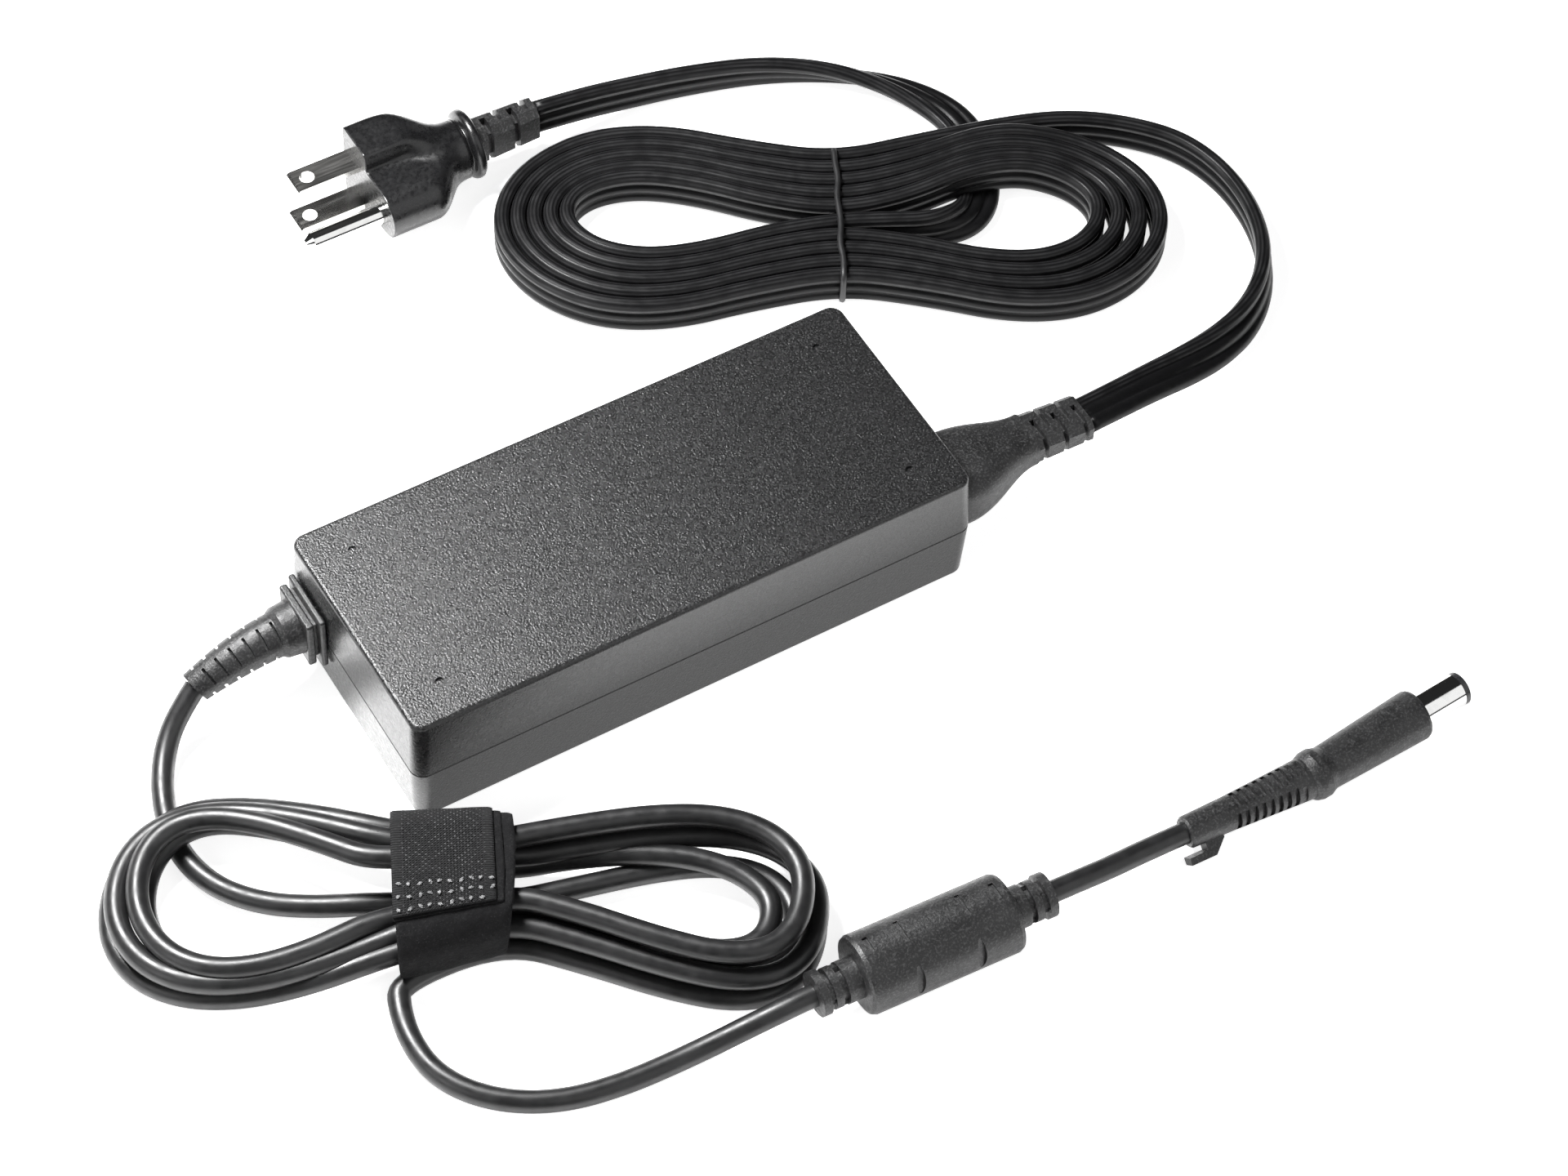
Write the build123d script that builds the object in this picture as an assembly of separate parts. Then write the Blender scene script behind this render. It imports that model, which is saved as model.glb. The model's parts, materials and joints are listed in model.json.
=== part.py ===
from build123d import *
import math
import os

# Frame: origin at the centre of the brick's base, +X towards the mains inlet, +Z up, millimetres.

# Brick
LENGTH = 133.0
WIDTH = 57.3
HEIGHT = 30.9
PARTING = 15.3          # height of the joint between the two shells
WALL = 2.2
CORNER = 3.0            # plan radius of the vertical edges
TOP_DRAFT = 0.7         # each side, parting line to top
BASE_DRAFT = 0.6        # each side, parting line to base
SEAM = 0.25             # bevel that leaves the fine groove at the parting line
TOP_EDGE = 1.0
DIMPLE_RADIUS = 1.0
DIMPLE_DEPTH = 0.5
DIMPLE_X = 55.6
DIMPLE_Y = 19.0
LABEL = (96.0, 42.0)
LABEL_THICKNESS = 0.25
LABEL_RECESS = 0.4

# Board and the parts on it
BOARD = (118.0, 48.0, 1.6)
BOARD_BOTTOM = 6.0
BOARD_TOP = BOARD_BOTTOM + BOARD[2]

# Mains inlet and coupler
INLET_Y = -14.5
AXIS_Z = 15.4           # height of the inlet, the coupler and the DC strain relief
INLET_SIZE = (13.0, 21.0, 15.5)
INLET_DEPTH = 10.0
LOBE_RADIUS = 3.9       # each of the three rounded lobes of the inlet cavity
PIN_SPREAD = 3.4        # lobe centres from the inlet axis
PIN_RADIUS = 1.15
COUPLER_GAP = 0.5
SHOULDER_END = 89.0
COUPLER_END = (103.0, -14.5, 14.9)

# DC strain relief on the brick's other end
GLAND_Y = 18.0
BEZEL = 14.8            # side of the square frame against the wall
COLLAR_PLATE = 12.9     # side of the square plate in front of it
RELIEF_RADIUS = 4.9
RELIEF_TIP_RADIUS = 3.6

# Cords
DC_CORD = 4.75          # diameter of the round DC cord
AC_TUBE = 6.0           # round tube of the same section as the flat mains cord
AC_WIDTH = 9.2          # the flat cord stands on edge in its hank
AC_THICKNESS = 3.6
TUNNEL_GAP = 0.5

# Ferrite: its centre, the direction of its axis, and half lengths without and with its necks
FERRITE_CENTRE = (6.5, -109.2, 8.6)
FERRITE_TURN = -3.1
FERRITE_RADIUS = 8.5
FERRITE_HALF = 17.3
NECK_HALF = 26.6

# DC plug: its collar is the pivot of a stiff grip and of a slotted relief that bends a little
PLUG_PIVOT = (98.4, -111.7, 5.7)
GRIP_TURN = 4.4
FLEX_TURN = -2.0
SLEEVE_START = -31.7
GRIP_END = 27.4
BARREL_RADIUS = 3.7
BARREL_START = 27.6     # from the pivot along the grip, as are the next two
BARREL_END = 39.6
CORE_START = 9.6
TIP_RING = 1.5
ROOT_RADIUS = 3.4       # of the part of the barrel inside the grip

# Mains plug
PLUG_FACE = 0.0
AC_PLUG_Z = 10.7
BLADE_Y = 126.0
BLADE_SPACING = 12.7
BLADE = (6.3, 1.5)      # width, thickness
BLADE_TIP = -16.2
GROUND_OFFSET = 11.9
GROUND_RADIUS = 2.4
GROUND_TIP = -19.5
COLLAR_X = 27.5

# Mains hank: a spiral of four and a half turns, pinched to a waist by its tie
AC_HANK = (90.7, 66.1)
AC_TURN = -28.0         # degrees, direction of its long axis
AC_REACH = 77.5
AC_WAIST = 18.8         # half width at the tie
AC_SWELL = 23.6
AC_SWELL_RUN = 42.0     # distance from the tie over which a side swells out
AC_TIE = 2.0            # width of the tie
TIE_THICKNESS = 0.8

# DC hank: two lobes on either side of the strap
DC_HANK = (-72.0, -49.5)
DC_TURN = -26.5
DC_HANK_HEIGHT = 14.5
WAIST_SPAN = (-13.0, 15.0)      # along the hank's axis
WAIST_SIZE = (33.0, 15.2)       # across it and up
WAIST_CENTRE = (-2.0, 8.95)
STRAP_THICKNESS = 1.2

# Routes of the cords' free stretches
AC_LEAD = [
    (103.0, -14.5, 14.9), (112.6, -13.4, 13.7), (123.5, -11.4, 11.2), (134.0, -9.6, 8.6),
    (144.5, -7.4, 6.6), (155.0, -3.6, 5.3), (164.2, 2.8, 4.8), (171.0, 11.6, 4.8),
    (175.0, 23.0, 4.8), (175.8, 35.8, 4.8), (172.6, 48.0, 4.8), (164.8, 57.6, 4.8),
    (154.6, 65.6, 4.8), (142.6, 70.8, 4.8)]
AC_TAIL = [
    (100.6, 59.6, 4.8), (108.4, 54.8, 4.6), (116.0, 53.6, 4.1), (122.2, 56.4, 3.6),
    (127.0, 62.4, 3.3), (130.6, 70.2, 3.3), (132.8, 78.4, 3.3), (131.4, 87.2, 3.6),
    (124.8, 97.8, 4.2), (114.0, 107.8, 4.7), (99.6, 116.0, 4.8), (82.6, 121.2, 5.0),
    (66.8, 123.4, 6.4), (54.6, 123.6, 8.8), (43.3, 123.3, 10.7)]
DC_LEAD = [
    (-94.0, 17.0, 11.0), (-98.8, 15.2, 7.6), (-103.8, 11.4, 4.7), (-108.2, 5.0, 2.9),
    (-111.6, -4.0, 2.45), (-112.8, -13.8, 2.4), (-110.2, -23.6, 2.5), (-103.4, -32.2, 2.7),
    (-94.0, -38.8, 3.4), (-83.9, -44.2, 4.4)]
DC_TAIL = [
    (-88.4, -61.6, 2.6), (-91.2, -67.4, 2.5), (-92.6, -74.8, 2.4), (-92.0, -83.0, 2.4),
    (-88.0, -90.6, 2.4), (-81.2, -97.0, 2.4), (-72.0, -101.6, 2.4), (-60.6, -103.8, 2.4),
    (-48.8, -104.6, 2.7), (-38.4, -105.6, 4.4), (-29.0, -107.0, 7.2), (-20.06, -107.76, 8.6)]
DC_END = [
    (33.06, -110.64, 8.6), (40.6, -110.9, 8.3), (48.0, -110.8, 7.2), (57.0, -110.4, 6.2),
    (66.72, -110.59, 5.7)]


def block(x_span, y_span, z_span, fillet_radius=0.0):
    size = [high - low for low, high in (x_span, y_span, z_span)]
    centre = [(low + high) / 2 for low, high in (x_span, y_span, z_span)]
    body = Box(*size)
    if fillet_radius:
        body = fillet(body.edges(), fillet_radius)
    return Pos(*centre) * body


def rod(start, direction, length, radius):
    return extrude(Plane(origin=start, z_dir=direction) * Circle(radius), length)


def along_x(x_value, y_value, z_value):
    """Plane across +X whose first axis is +Y and second +Z."""
    return Plane(origin=(x_value, y_value, z_value), x_dir=(0, 1, 0), z_dir=(1, 0, 0))


def turned_x(stations, y_value, z_value):
    """Solid of revolution about a line along X through (x, radius) stations."""
    points = [(stations[0][0], 0.0)] + list(stations) + [(stations[-1][0], 0.0)]
    profile = make_face(Polyline(*points, close=True))
    return Pos(0, y_value, z_value) * revolve(profile, Axis.X)


def save(node, *solids):
    shape = solids[0] if len(solids) == 1 else Compound(children=list(solids))
    export_step(shape, os.path.join("parts", node + ".step"))


# ---------------------------------------------------------------- brick shells

def shell_section(z_value, inset, corner):
    """Rounded rectangle of the brick's outside at one height, moved in by inset."""
    if z_value >= PARTING:
        draft = TOP_DRAFT * (z_value - PARTING) / (HEIGHT - PARTING)
    else:
        draft = BASE_DRAFT * (PARTING - z_value) / PARTING
    shrink = 2 * (draft + inset)
    return Pos(0, 0, z_value) * RectangleRounded(LENGTH - shrink, WIDTH - shrink, corner)


def inlet_window():
    half_y, half_z = INLET_SIZE[1] / 2, INLET_SIZE[2] / 2
    return block((LENGTH / 2 - 6, LENGTH / 2 + 6), (INLET_Y - half_y, INLET_Y + half_y),
                 (AXIS_Z - half_z, AXIS_Z + half_z))


def gland_window():
    return block((-LENGTH / 2 - 6, -LENGTH / 2 + 6), (GLAND_Y - 6.0, GLAND_Y + 6.0),
                 (AXIS_Z - 6.0, AXIS_Z + 6.0))


def top_shell():
    outer = loft([shell_section(PARTING + SEAM, 0, CORNER), shell_section(HEIGHT, 0, CORNER)])
    outer = fillet(outer.faces().sort_by(Axis.Z)[-1].edges(), TOP_EDGE)
    outer += loft([shell_section(PARTING, SEAM, CORNER), shell_section(PARTING + SEAM, 0, CORNER)])
    inner = loft([shell_section(PARTING, WALL, 1.0), shell_section(HEIGHT - WALL, WALL, 1.0)])
    body = outer - inner - inlet_window() - gland_window()
    for x_value in (-DIMPLE_X, DIMPLE_X):
        for y_value in (-DIMPLE_Y, DIMPLE_Y):
            body -= Pos(x_value, y_value, HEIGHT) * Cylinder(DIMPLE_RADIUS, 2 * DIMPLE_DEPTH)
    return body


def bottom_shell():
    outer = loft([shell_section(0, 0, CORNER), shell_section(PARTING - SEAM, 0, CORNER)])
    outer = fillet(outer.faces().sort_by(Axis.Z)[0].edges(), 1.0)
    outer += loft([shell_section(PARTING - SEAM, 0, CORNER), shell_section(PARTING, SEAM, CORNER)])
    inner = loft([shell_section(WALL, WALL, 1.0), shell_section(PARTING, WALL, 1.0)])
    body = outer - inner - inlet_window() - gland_window()
    body -= block((-LABEL[0] / 2, LABEL[0] / 2), (-LABEL[1] / 2, LABEL[1] / 2), (-1, LABEL_RECESS))
    for x_value in (-52.0, 52.0):
        for y_value in (-21.0, 21.0):
            body += block((x_value - 2, x_value + 2), (y_value - 2, y_value + 2), (WALL, BOARD_BOTTOM))
    return body


def rating_plate():
    top = LABEL_RECESS
    return block((-LABEL[0] / 2 + 0.3, LABEL[0] / 2 - 0.3), (-LABEL[1] / 2 + 0.3, LABEL[1] / 2 - 0.3),
                 (top - LABEL_THICKNESS, top))


# ---------------------------------------------------------------- mains inlet and coupler

def lobe_centres():
    """The three contacts: two side by side, the earth below them."""
    return [(PIN_SPREAD, 1.6), (-PIN_SPREAD, 1.6), (0.0, -2.9)]


def trefoil(radius):
    outline = Rectangle(2 * PIN_SPREAD, 2 * radius - 1.2)
    for y_value, z_value in lobe_centres():
        outline += Pos(y_value, z_value) * Circle(radius)
    return outline


def ac_inlet():
    face = LENGTH / 2 + 0.2
    half_y, half_z = INLET_SIZE[1] / 2, INLET_SIZE[2] / 2
    body = block((face - INLET_SIZE[0], face), (INLET_Y - half_y, INLET_Y + half_y),
                 (AXIS_Z - half_z, AXIS_Z + half_z))
    body -= extrude(along_x(face - INLET_DEPTH, INLET_Y, AXIS_Z) * trefoil(LOBE_RADIUS), INLET_DEPTH + 1)
    return body


def inlet_pins():
    start = LENGTH / 2 + 0.2 - INLET_DEPTH
    return [rod((start, INLET_Y + y_value, AXIS_Z + z_value), (1, 0, 0), 8.0, PIN_RADIUS)
            for y_value, z_value in lobe_centres()]


def coupler_insert():
    """Hard nose that fills the inlet, bored for the three spring contacts."""
    start = LENGTH / 2 + 0.2 - INLET_DEPTH + 0.4
    end = LENGTH / 2 + COUPLER_GAP + 4.0
    body = extrude(along_x(start, INLET_Y, AXIS_Z) * trefoil(LOBE_RADIUS - 0.35), end - start)
    for y_value, z_value in lobe_centres():
        body -= rod((start - 1, INLET_Y + y_value, AXIS_Z + z_value), (1, 0, 0), end - start + 2, 1.75)
    return body


def coupler_contacts():
    start = LENGTH / 2 + 0.2 - INLET_DEPTH + 1.0
    end = LENGTH / 2 + COUPLER_GAP + 4.0
    contacts = []
    for y_value, z_value in lobe_centres():
        centre = (start, INLET_Y + y_value, AXIS_Z + z_value)
        sleeve = rod(centre, (1, 0, 0), end - start, 1.75)
        sleeve -= rod((start - 1, centre[1], centre[2]), (1, 0, 0), 9.0, PIN_RADIUS + 0.2)
        contacts.append(sleeve)
    return contacts


def ring_slots(x_values, y_value, z_value, radius, length, width, depth, angles):
    """Tangential slots cut into something of one radius that runs along X."""
    slots = []
    for x_value in x_values:
        for angle in angles:
            cutter = Rot(angle, 0, 0) * Pos(0, 0, radius) * Box(width, length, 2 * depth)
            slots.append(Pos(x_value, y_value, z_value) * cutter)
    return slots


def octagon(wide, tall):
    cut = 0.24 * min(wide, tall)
    corners = [(wide / 2, tall / 2 - cut), (wide / 2 - cut, tall / 2)]
    corners += [(-y_value, z_value) for y_value, z_value in reversed(corners)]
    corners += [(-y_value, -z_value) for y_value, z_value in corners]
    return make_face(Polyline(*corners, close=True))


def flat_relief(start, end, size_start, size_end, slots):
    """Relief for the flat cord: a tapered eight-sided bar, slotted from its front and back in turn."""
    body = loft([along_x(*start) * octagon(*size_start), along_x(*end) * octagon(*size_end)])
    pitch = (end[0] - start[0]) / (slots + 0.6)
    for number in range(slots):
        share = (number + 0.7) / (slots + 0.6)
        y_value, z_value = [start[axis] + (end[axis] - start[axis]) * share for axis in (1, 2)]
        wide, tall = [first + (last - first) * share for first, last in zip(size_start, size_end)]
        x_value = start[0] + share * (end[0] - start[0])
        x_span = (x_value, x_value + 0.42 * pitch)
        y_span = (y_value - wide, y_value + 0.14 * wide)
        if number % 2:
            y_span = (y_value - 0.14 * wide, y_value + wide)
        cut = block(x_span, y_span, (z_value - tall, z_value + tall))
        cut -= block(x_span, (y_value - 0.3 * wide, y_value + 0.3 * wide),
                     (z_value - 0.3 * tall, z_value + 0.3 * tall))
        body -= cut
    return body


def ac_coupler():
    """Soft moulding of the coupler: wide at the brick, necking in to its slotted relief."""
    face = LENGTH / 2 + COUPLER_GAP
    stations = [(face, -0.6, 19.6, 13.6, 4.0), (face + 6.0, -0.6, 19.6, 13.5, 4.8),
                (face + 11.0, -0.2, 17.2, 12.2, 4.8), (face + 16.5, 0.2, 13.4, 9.9, 4.0),
                (SHOULDER_END, 0.4, 11.4, 8.5, 3.0)]
    sections = [along_x(x_value, INLET_Y + aside, AXIS_Z) * RectangleRounded(wide, tall, radius)
                for x_value, aside, wide, tall, radius in stations]
    body = loft(sections)
    body += flat_relief((SHOULDER_END - 0.5, INLET_Y + 0.4, AXIS_Z), COUPLER_END, (10.8, 7.8), (10.4, 6.8), 5)
    return body - extrude(along_x(face - 1, INLET_Y, AXIS_Z) * trefoil(LOBE_RADIUS - 0.35), 5.0)


# ---------------------------------------------------------------- DC strain relief, ferrite and plug

def relief_path():
    """Centres, directions and radii along the drooping DC strain relief."""
    face = -LENGTH / 2
    end = Vector(*DC_LEAD[0])
    heading = (Vector(*DC_LEAD[1]) - end).normalized()
    return [(Vector(face - 6.0, GLAND_Y, AXIS_Z), Vector(-1, 0, 0), RELIEF_RADIUS),
            (Vector(face - 13.0, GLAND_Y - 0.1, AXIS_Z - 0.5), Vector(-1, -0.03, -0.14), RELIEF_RADIUS - 0.2),
            (Vector(face - 20.5, GLAND_Y - 0.5, AXIS_Z - 2.1), Vector(-1, -0.10, -0.30), RELIEF_RADIUS - 0.7),
            (end, (Vector(-1, -0.12, -0.4) + heading * 0.3).normalized(), RELIEF_TIP_RADIUS)]


def relief_plane(centre, direction):
    return Plane(origin=centre, x_dir=(direction.Y, -direction.X, 0), z_dir=direction)


def square_block(x_span, side, fillet_radius=0.0):
    """Square block on the axis of the DC strain relief."""
    return block(x_span, (GLAND_Y - side / 2, GLAND_Y + side / 2), (AXIS_Z - side / 2, AXIS_Z + side / 2),
                 fillet_radius)


def dc_strain_relief():
    face = -LENGTH / 2
    body = square_block((face - 1.4, face), BEZEL, 0.5) + square_block((face - 2.4, face + 4.0), 10.6)
    body += square_block((face - 4.0, face - 2.2), COLLAR_PLATE, 0.5)
    body += turned_x([(face - 8.6, RELIEF_RADIUS), (face - 7.6, RELIEF_RADIUS + 0.7),
                      (face - 3.9, RELIEF_RADIUS + 1.1)], GLAND_Y, AXIS_Z)
    path = relief_path()
    body += loft([relief_plane(centre, direction) * Circle(radius) for centre, direction, radius in path])
    spots = 6
    for number in range(2 * spots):
        share = (number + 2.0) / (2 * spots + 2.4) * (len(path) - 1)
        index = min(int(share), len(path) - 2)
        part_way = share - index
        first, second = path[index], path[index + 1]
        centre = first[0] + (second[0] - first[0]) * part_way
        direction = (first[1] + (second[1] - first[1]) * part_way).normalized()
        radius = first[2] + (second[2] - first[2]) * part_way
        start_angle = 150 if number % 2 else 60
        for angle in (start_angle, start_angle + 180):
            cutter = Rot(0, 0, angle) * Pos(radius, 0, 0) * Box(2.4, 1.1 * radius, 0.6)
            body -= relief_plane(centre, direction) * cutter
    return body


def ferrite_place():
    return Pos(*FERRITE_CENTRE) * Rot(0, 0, FERRITE_TURN)


def ferrite_cover():
    edge = 1.2
    half, radius = FERRITE_HALF, FERRITE_RADIUS
    body = turned_x([(-half, radius - edge), (-half + 0.3 * edge, radius - 0.3 * edge),
                     (-half + edge, radius),
                     (half - edge, radius), (half - 0.3 * edge, radius - 0.3 * edge), (half, radius - edge)],
                    0, 0)
    reach = NECK_HALF - half
    rings = ((-0.5, 0.36, 4.5), (0.36, 0.50, 3.3), (0.50, 0.68, 4.4), (0.68, 0.80, 3.3), (0.80, 1.0, 4.8))
    for side in (-1, 1):
        for number, (low, high, ring_radius) in enumerate(rings):
            ends = sorted((side * (half + low * reach), side * (half + high * reach)))
            body += rod((ends[0], 0, 0), (1, 0, 0), ends[1] - ends[0], ring_radius)
            if number % 2:
                web = Rot(45 * number, 0, 0) * block((ends[0] - 0.2, ends[1] + 0.2), (-4.0, 4.0), (-1.4, 1.4))
                body += web
    slots = ring_slots([-half + 3.0, half - 3.0], 0, 0, radius, 4.0, 1.1, 0.7, (-8, 172))
    thirds = [-0.4 * half, 0.4 * half]
    slots += ring_slots(thirds, 0, 0, radius, 5.6, 1.0, 0.8, (-8, 172))
    for x_value in thirds:
        for angle in (73, 253):
            lens = extrude(Ellipse(0.95, 3.7), 0.9, both=True)
            slots.append(Pos(x_value, 0, 0) * Rot(angle, 0, 0) * Pos(0, 0, radius) * lens)
    for slot in slots:
        body -= slot
    core = FERRITE_HALF - 4.5
    body -= rod((-core, 0, 0), (1, 0, 0), 2 * core, radius - 1.9)
    return ferrite_place() * body


def ferrite_core():
    half = FERRITE_HALF - 4.5
    core = rod((-half, 0, 0), (1, 0, 0), 2 * half, FERRITE_RADIUS - 1.9)
    return ferrite_place() * (core - rod((-half, 0, 0), (1, 0, 0), 2 * half, DC_CORD / 2))


def ferrite_cord():
    """The cord where it passes through the ferrite."""
    half = FERRITE_HALF - 4.5
    return ferrite_place() * rod((-half, 0, 0), (1, 0, 0), 2 * half, DC_CORD / 2)


def on_grip(shape):
    return Pos(*PLUG_PIVOT) * Rot(0, 0, GRIP_TURN) * shape


def on_flex(shape):
    return Pos(*PLUG_PIVOT) * Rot(0, 0, FLEX_TURN) * shape


def grip_rod(start, end, radius):
    return rod((start, 0, 0), (1, 0, 0), end - start, radius)


def cord_hook():
    """Clip for the cord under the front of the sleeve, open towards the brick's side."""
    start = SLEEVE_START
    arm = block((start - 1.4, start + 7.4), (-6.6, -2.0), (-1.5, 1.5))
    arm -= Pos(start + 7.4, -7.0, 0) * Rot(0, 0, 45) * Box(4.6, 4.6, 6)
    arm -= block((start - 2.0, start + 3.0), (-5.0, -1.0), (-2, 2))
    return Rot(40, 0, 0) * arm


def dc_plug_handle():
    """Moulding of the DC plug: sleeve with cord hook, slotted relief, collar and grip."""
    start = SLEEVE_START
    flex = turned_x([(start, 3.1), (start + 0.5, 3.5), (-21.5, 3.7), (-3.0, 4.6), (0.6, 4.6)], 0, 0)
    pitch = 1.95
    for number in range(18):
        x_value = -20.6 + number * pitch / 2
        radius = 3.75 + 0.85 * (x_value + 20.6) / 17.6
        angles = (-10, 170) if number % 2 else (78, 258)
        depth = 1.2 if number < 15 else 0.6
        for slot in ring_slots([x_value], 0, 0, radius, 1.15 * radius, 1.05, depth, angles):
            flex -= slot
    grip = turned_x([(-2.8, 4.4), (-2.0, 5.1), (-0.8, 5.5), (0.8, 5.5), (2.0, 5.05), (2.8, 4.85),
                     (GRIP_END - 0.8, 5.65), (GRIP_END - 0.2, 5.45), (GRIP_END, 5.0)], 0, 0)
    grip -= grip_rod(CORE_START, GRIP_END + 1, ROOT_RADIUS)
    return on_flex(flex + cord_hook()) + on_grip(grip)


def dc_barrel():
    shell = grip_rod(BARREL_START, BARREL_END - TIP_RING, BARREL_RADIUS)
    shell -= grip_rod(BARREL_START - 1, BARREL_END, BARREL_RADIUS - 0.45)
    root = grip_rod(CORE_START, BARREL_START, ROOT_RADIUS)
    root -= grip_rod(CORE_START - 1, BARREL_START + 1, ROOT_RADIUS - 0.4)
    return on_grip(shell + root)


def dc_barrel_tip():
    ring = grip_rod(BARREL_END - TIP_RING, BARREL_END, BARREL_RADIUS)
    ring = chamfer(ring.edges().sort_by(Axis.X)[-1], 0.3)
    return on_grip(ring - grip_rod(BARREL_END - 3, BARREL_END + 1, BARREL_RADIUS - 0.95))


def dc_plug_core():
    """Insulator at the root of the barrel that carries the centre pin."""
    core = grip_rod(CORE_START, BARREL_START + 1.5, ROOT_RADIUS - 0.4)
    return on_grip(core - grip_rod(CORE_START - 1, BARREL_END, 0.4))


def dc_centre_pin():
    return on_grip(grip_rod(CORE_START, BARREL_END - 3.0, 0.4))


# ---------------------------------------------------------------- mains plug

def plug_loft(stations):
    """Loft through rounded rectangles given as x, centre y, width, height and corner radius."""
    return loft([along_x(x_value, y_value, AC_PLUG_Z) * RectangleRounded(wide, tall, radius)
                 for x_value, y_value, wide, tall, radius in stations])


def plug_front(low, high, tall, radius, length):
    """Straight part of one half of the mains plug, from its front face back."""
    outline = Pos((low + high) / 2, 0) * RectangleRounded(high - low, tall, radius)
    return extrude(along_x(PLUG_FACE, 0, AC_PLUG_Z) * outline, length)


def ac_plug_body():
    """Moulding of the mains plug: block for the blades, lobe for the ground pin, neck and collar."""
    neck_y = AC_TAIL[-1][1]
    body = plug_front(122.0, 133.2, BLADE_SPACING + 8.6, 1.6, 11.0)
    body += plug_loft([(11.0, 127.6, 11.2, 21.3, 1.6), (14.0, 127.2, 10.8, 20.2, 2.4),
                       (17.0, 126.0, 10.6, 17.0, 3.6), (20.0, 124.7, 11.4, 14.2, 5.0),
                       (24.0, neck_y, 12.8, 12.8, 6.0)])
    body += plug_front(108.1, 126.0, 12.0, 5.9, 12.0)
    body += plug_loft([(12.0, 117.05, 17.9, 12.0, 5.9), (15.0, 117.9, 17.2, 12.1, 5.9),
                       (18.0, 119.9, 15.4, 12.5, 5.9), (21.0, 122.4, 13.6, 12.7, 5.9),
                       (24.0, neck_y, 12.8, 12.8, 6.0)])
    body += rod((23.0, neck_y, AC_PLUG_Z), (1, 0, 0), COLLAR_X - 24.0, 6.35)
    collar = rod((COLLAR_X - 2.6, neck_y, AC_PLUG_Z), (1, 0, 0), 2.6, 8.2)
    body += fillet(collar.edges(), 1.1)
    for blade_z in (-BLADE_SPACING / 2, BLADE_SPACING / 2):
        body -= block((PLUG_FACE - 1, 9.0), (BLADE_Y - BLADE[0] / 2, BLADE_Y + BLADE[0] / 2),
                      (AC_PLUG_Z + blade_z - BLADE[1] / 2, AC_PLUG_Z + blade_z + BLADE[1] / 2))
    return body - rod((PLUG_FACE - 1, BLADE_Y - GROUND_OFFSET, AC_PLUG_Z), (1, 0, 0), 10.0, GROUND_RADIUS)


def ac_plug_relief():
    """Slotted relief behind the collar."""
    start = (COLLAR_X, AC_TAIL[-1][1], AC_PLUG_Z)
    return flat_relief(start, AC_TAIL[-1], (7.9, 10.7), (6.8, 10.0), 4)


def blade(z_offset):
    z_value = AC_PLUG_Z + z_offset
    body = block((BLADE_TIP, 9.0), (BLADE_Y - BLADE[0] / 2, BLADE_Y + BLADE[0] / 2),
                 (z_value - BLADE[1] / 2, z_value + BLADE[1] / 2))
    body = chamfer(body.faces().sort_by(Axis.X)[0].edges().filter_by(Axis.Y), 0.5)
    return body - rod((BLADE_TIP + 3.6, BLADE_Y, z_value - 2), (0, 0, 1), 4.0, 1.7)


def ground_pin():
    y_value = BLADE_Y - GROUND_OFFSET
    return turned_x([(GROUND_TIP, 1.0), (GROUND_TIP + 1.6, GROUND_RADIUS), (9.0, GROUND_RADIUS)],
                    y_value, AC_PLUG_Z)


# ---------------------------------------------------------------- cords, hanks, tie and strap

def corner_radii(points):
    """Largest tangent arc that the two runs at each corner leave room for."""
    radii = []
    for before, corner, after in zip(points, points[1:], points[2:]):
        first = Vector(*corner) - Vector(*before)
        second = Vector(*after) - Vector(*corner)
        turn = math.radians(first.get_angle(second))
        radii.append(0.45 * min(first.length, second.length) / math.tan(turn / 2))
    return radii


def cord_tube(name, points, diameter):
    radii = corner_radii(points)
    path = FilletPolyline(*points, radius=radii)
    heading = Vector(*points[1]) - Vector(*points[0])
    tube = sweep(Plane(origin=points[0], z_dir=heading) * Circle(diameter / 2), path=path)
    section = math.pi * diameter ** 2 / 4
    print(name, "length", round(path.length, 1), "radii", [round(radius, 1) for radius in radii],
          "volume ratio", round(tube.volume / (section * path.length), 4))
    return tube


def hank_plane(centre, turn):
    """Plane on the floor along a hank's long axis."""
    axis = (math.cos(math.radians(turn)), math.sin(math.radians(turn)), 0)
    return Plane(origin=(centre[0], centre[1], 0), x_dir=axis, z_dir=(0, 0, 1))


def pinched_side(reach, waist, swell, run, angle):
    """Point of a loop that swells out from a waist at its middle: angle 0 is the middle of one side."""
    along = reach * math.sin(math.radians(angle))
    width = waist + swell * (1 - math.exp(-(along / run) ** 2))
    return along, width * math.cos(math.radians(angle))


def ac_hank():
    """Outer shape of the mains hank, open in its two lobes and notched for the cord's end."""
    outline = [pinched_side(AC_REACH + AC_THICKNESS / 2, AC_WAIST, AC_SWELL + 1.0, AC_SWELL_RUN, angle)
               for angle in range(0, 360, 15)]
    body = extrude(make_face(Spline(*outline, periodic=True)), AC_WIDTH)
    for side, reach, waist in ((-1, 58.6, 0.6), (1, 56.6, 3.2)):
        hole = [pinched_side(reach, waist, AC_SWELL - 2.5, AC_SWELL_RUN, angle)
                for angle in range(12, 169, 12)]
        hole = [(side * along, across) for along, across in hole]
        face = make_face([Spline(*hole), Line(hole[-1], hole[0])])
        body -= extrude(face, AC_WIDTH, both=True)
    body -= block((-AC_TIE / 2 - 0.1, AC_TIE / 2 + 0.1), (-AC_WAIST - 1, AC_WAIST + 1),
                  (-1, TIE_THICKNESS + 0.1))
    body = hank_plane(AC_HANK, AC_TURN) * body
    for start, end in zip(AC_TAIL[3:8], AC_TAIL[4:9]):
        body -= tunnel(start, end, AC_TUBE)
    return body


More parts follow.
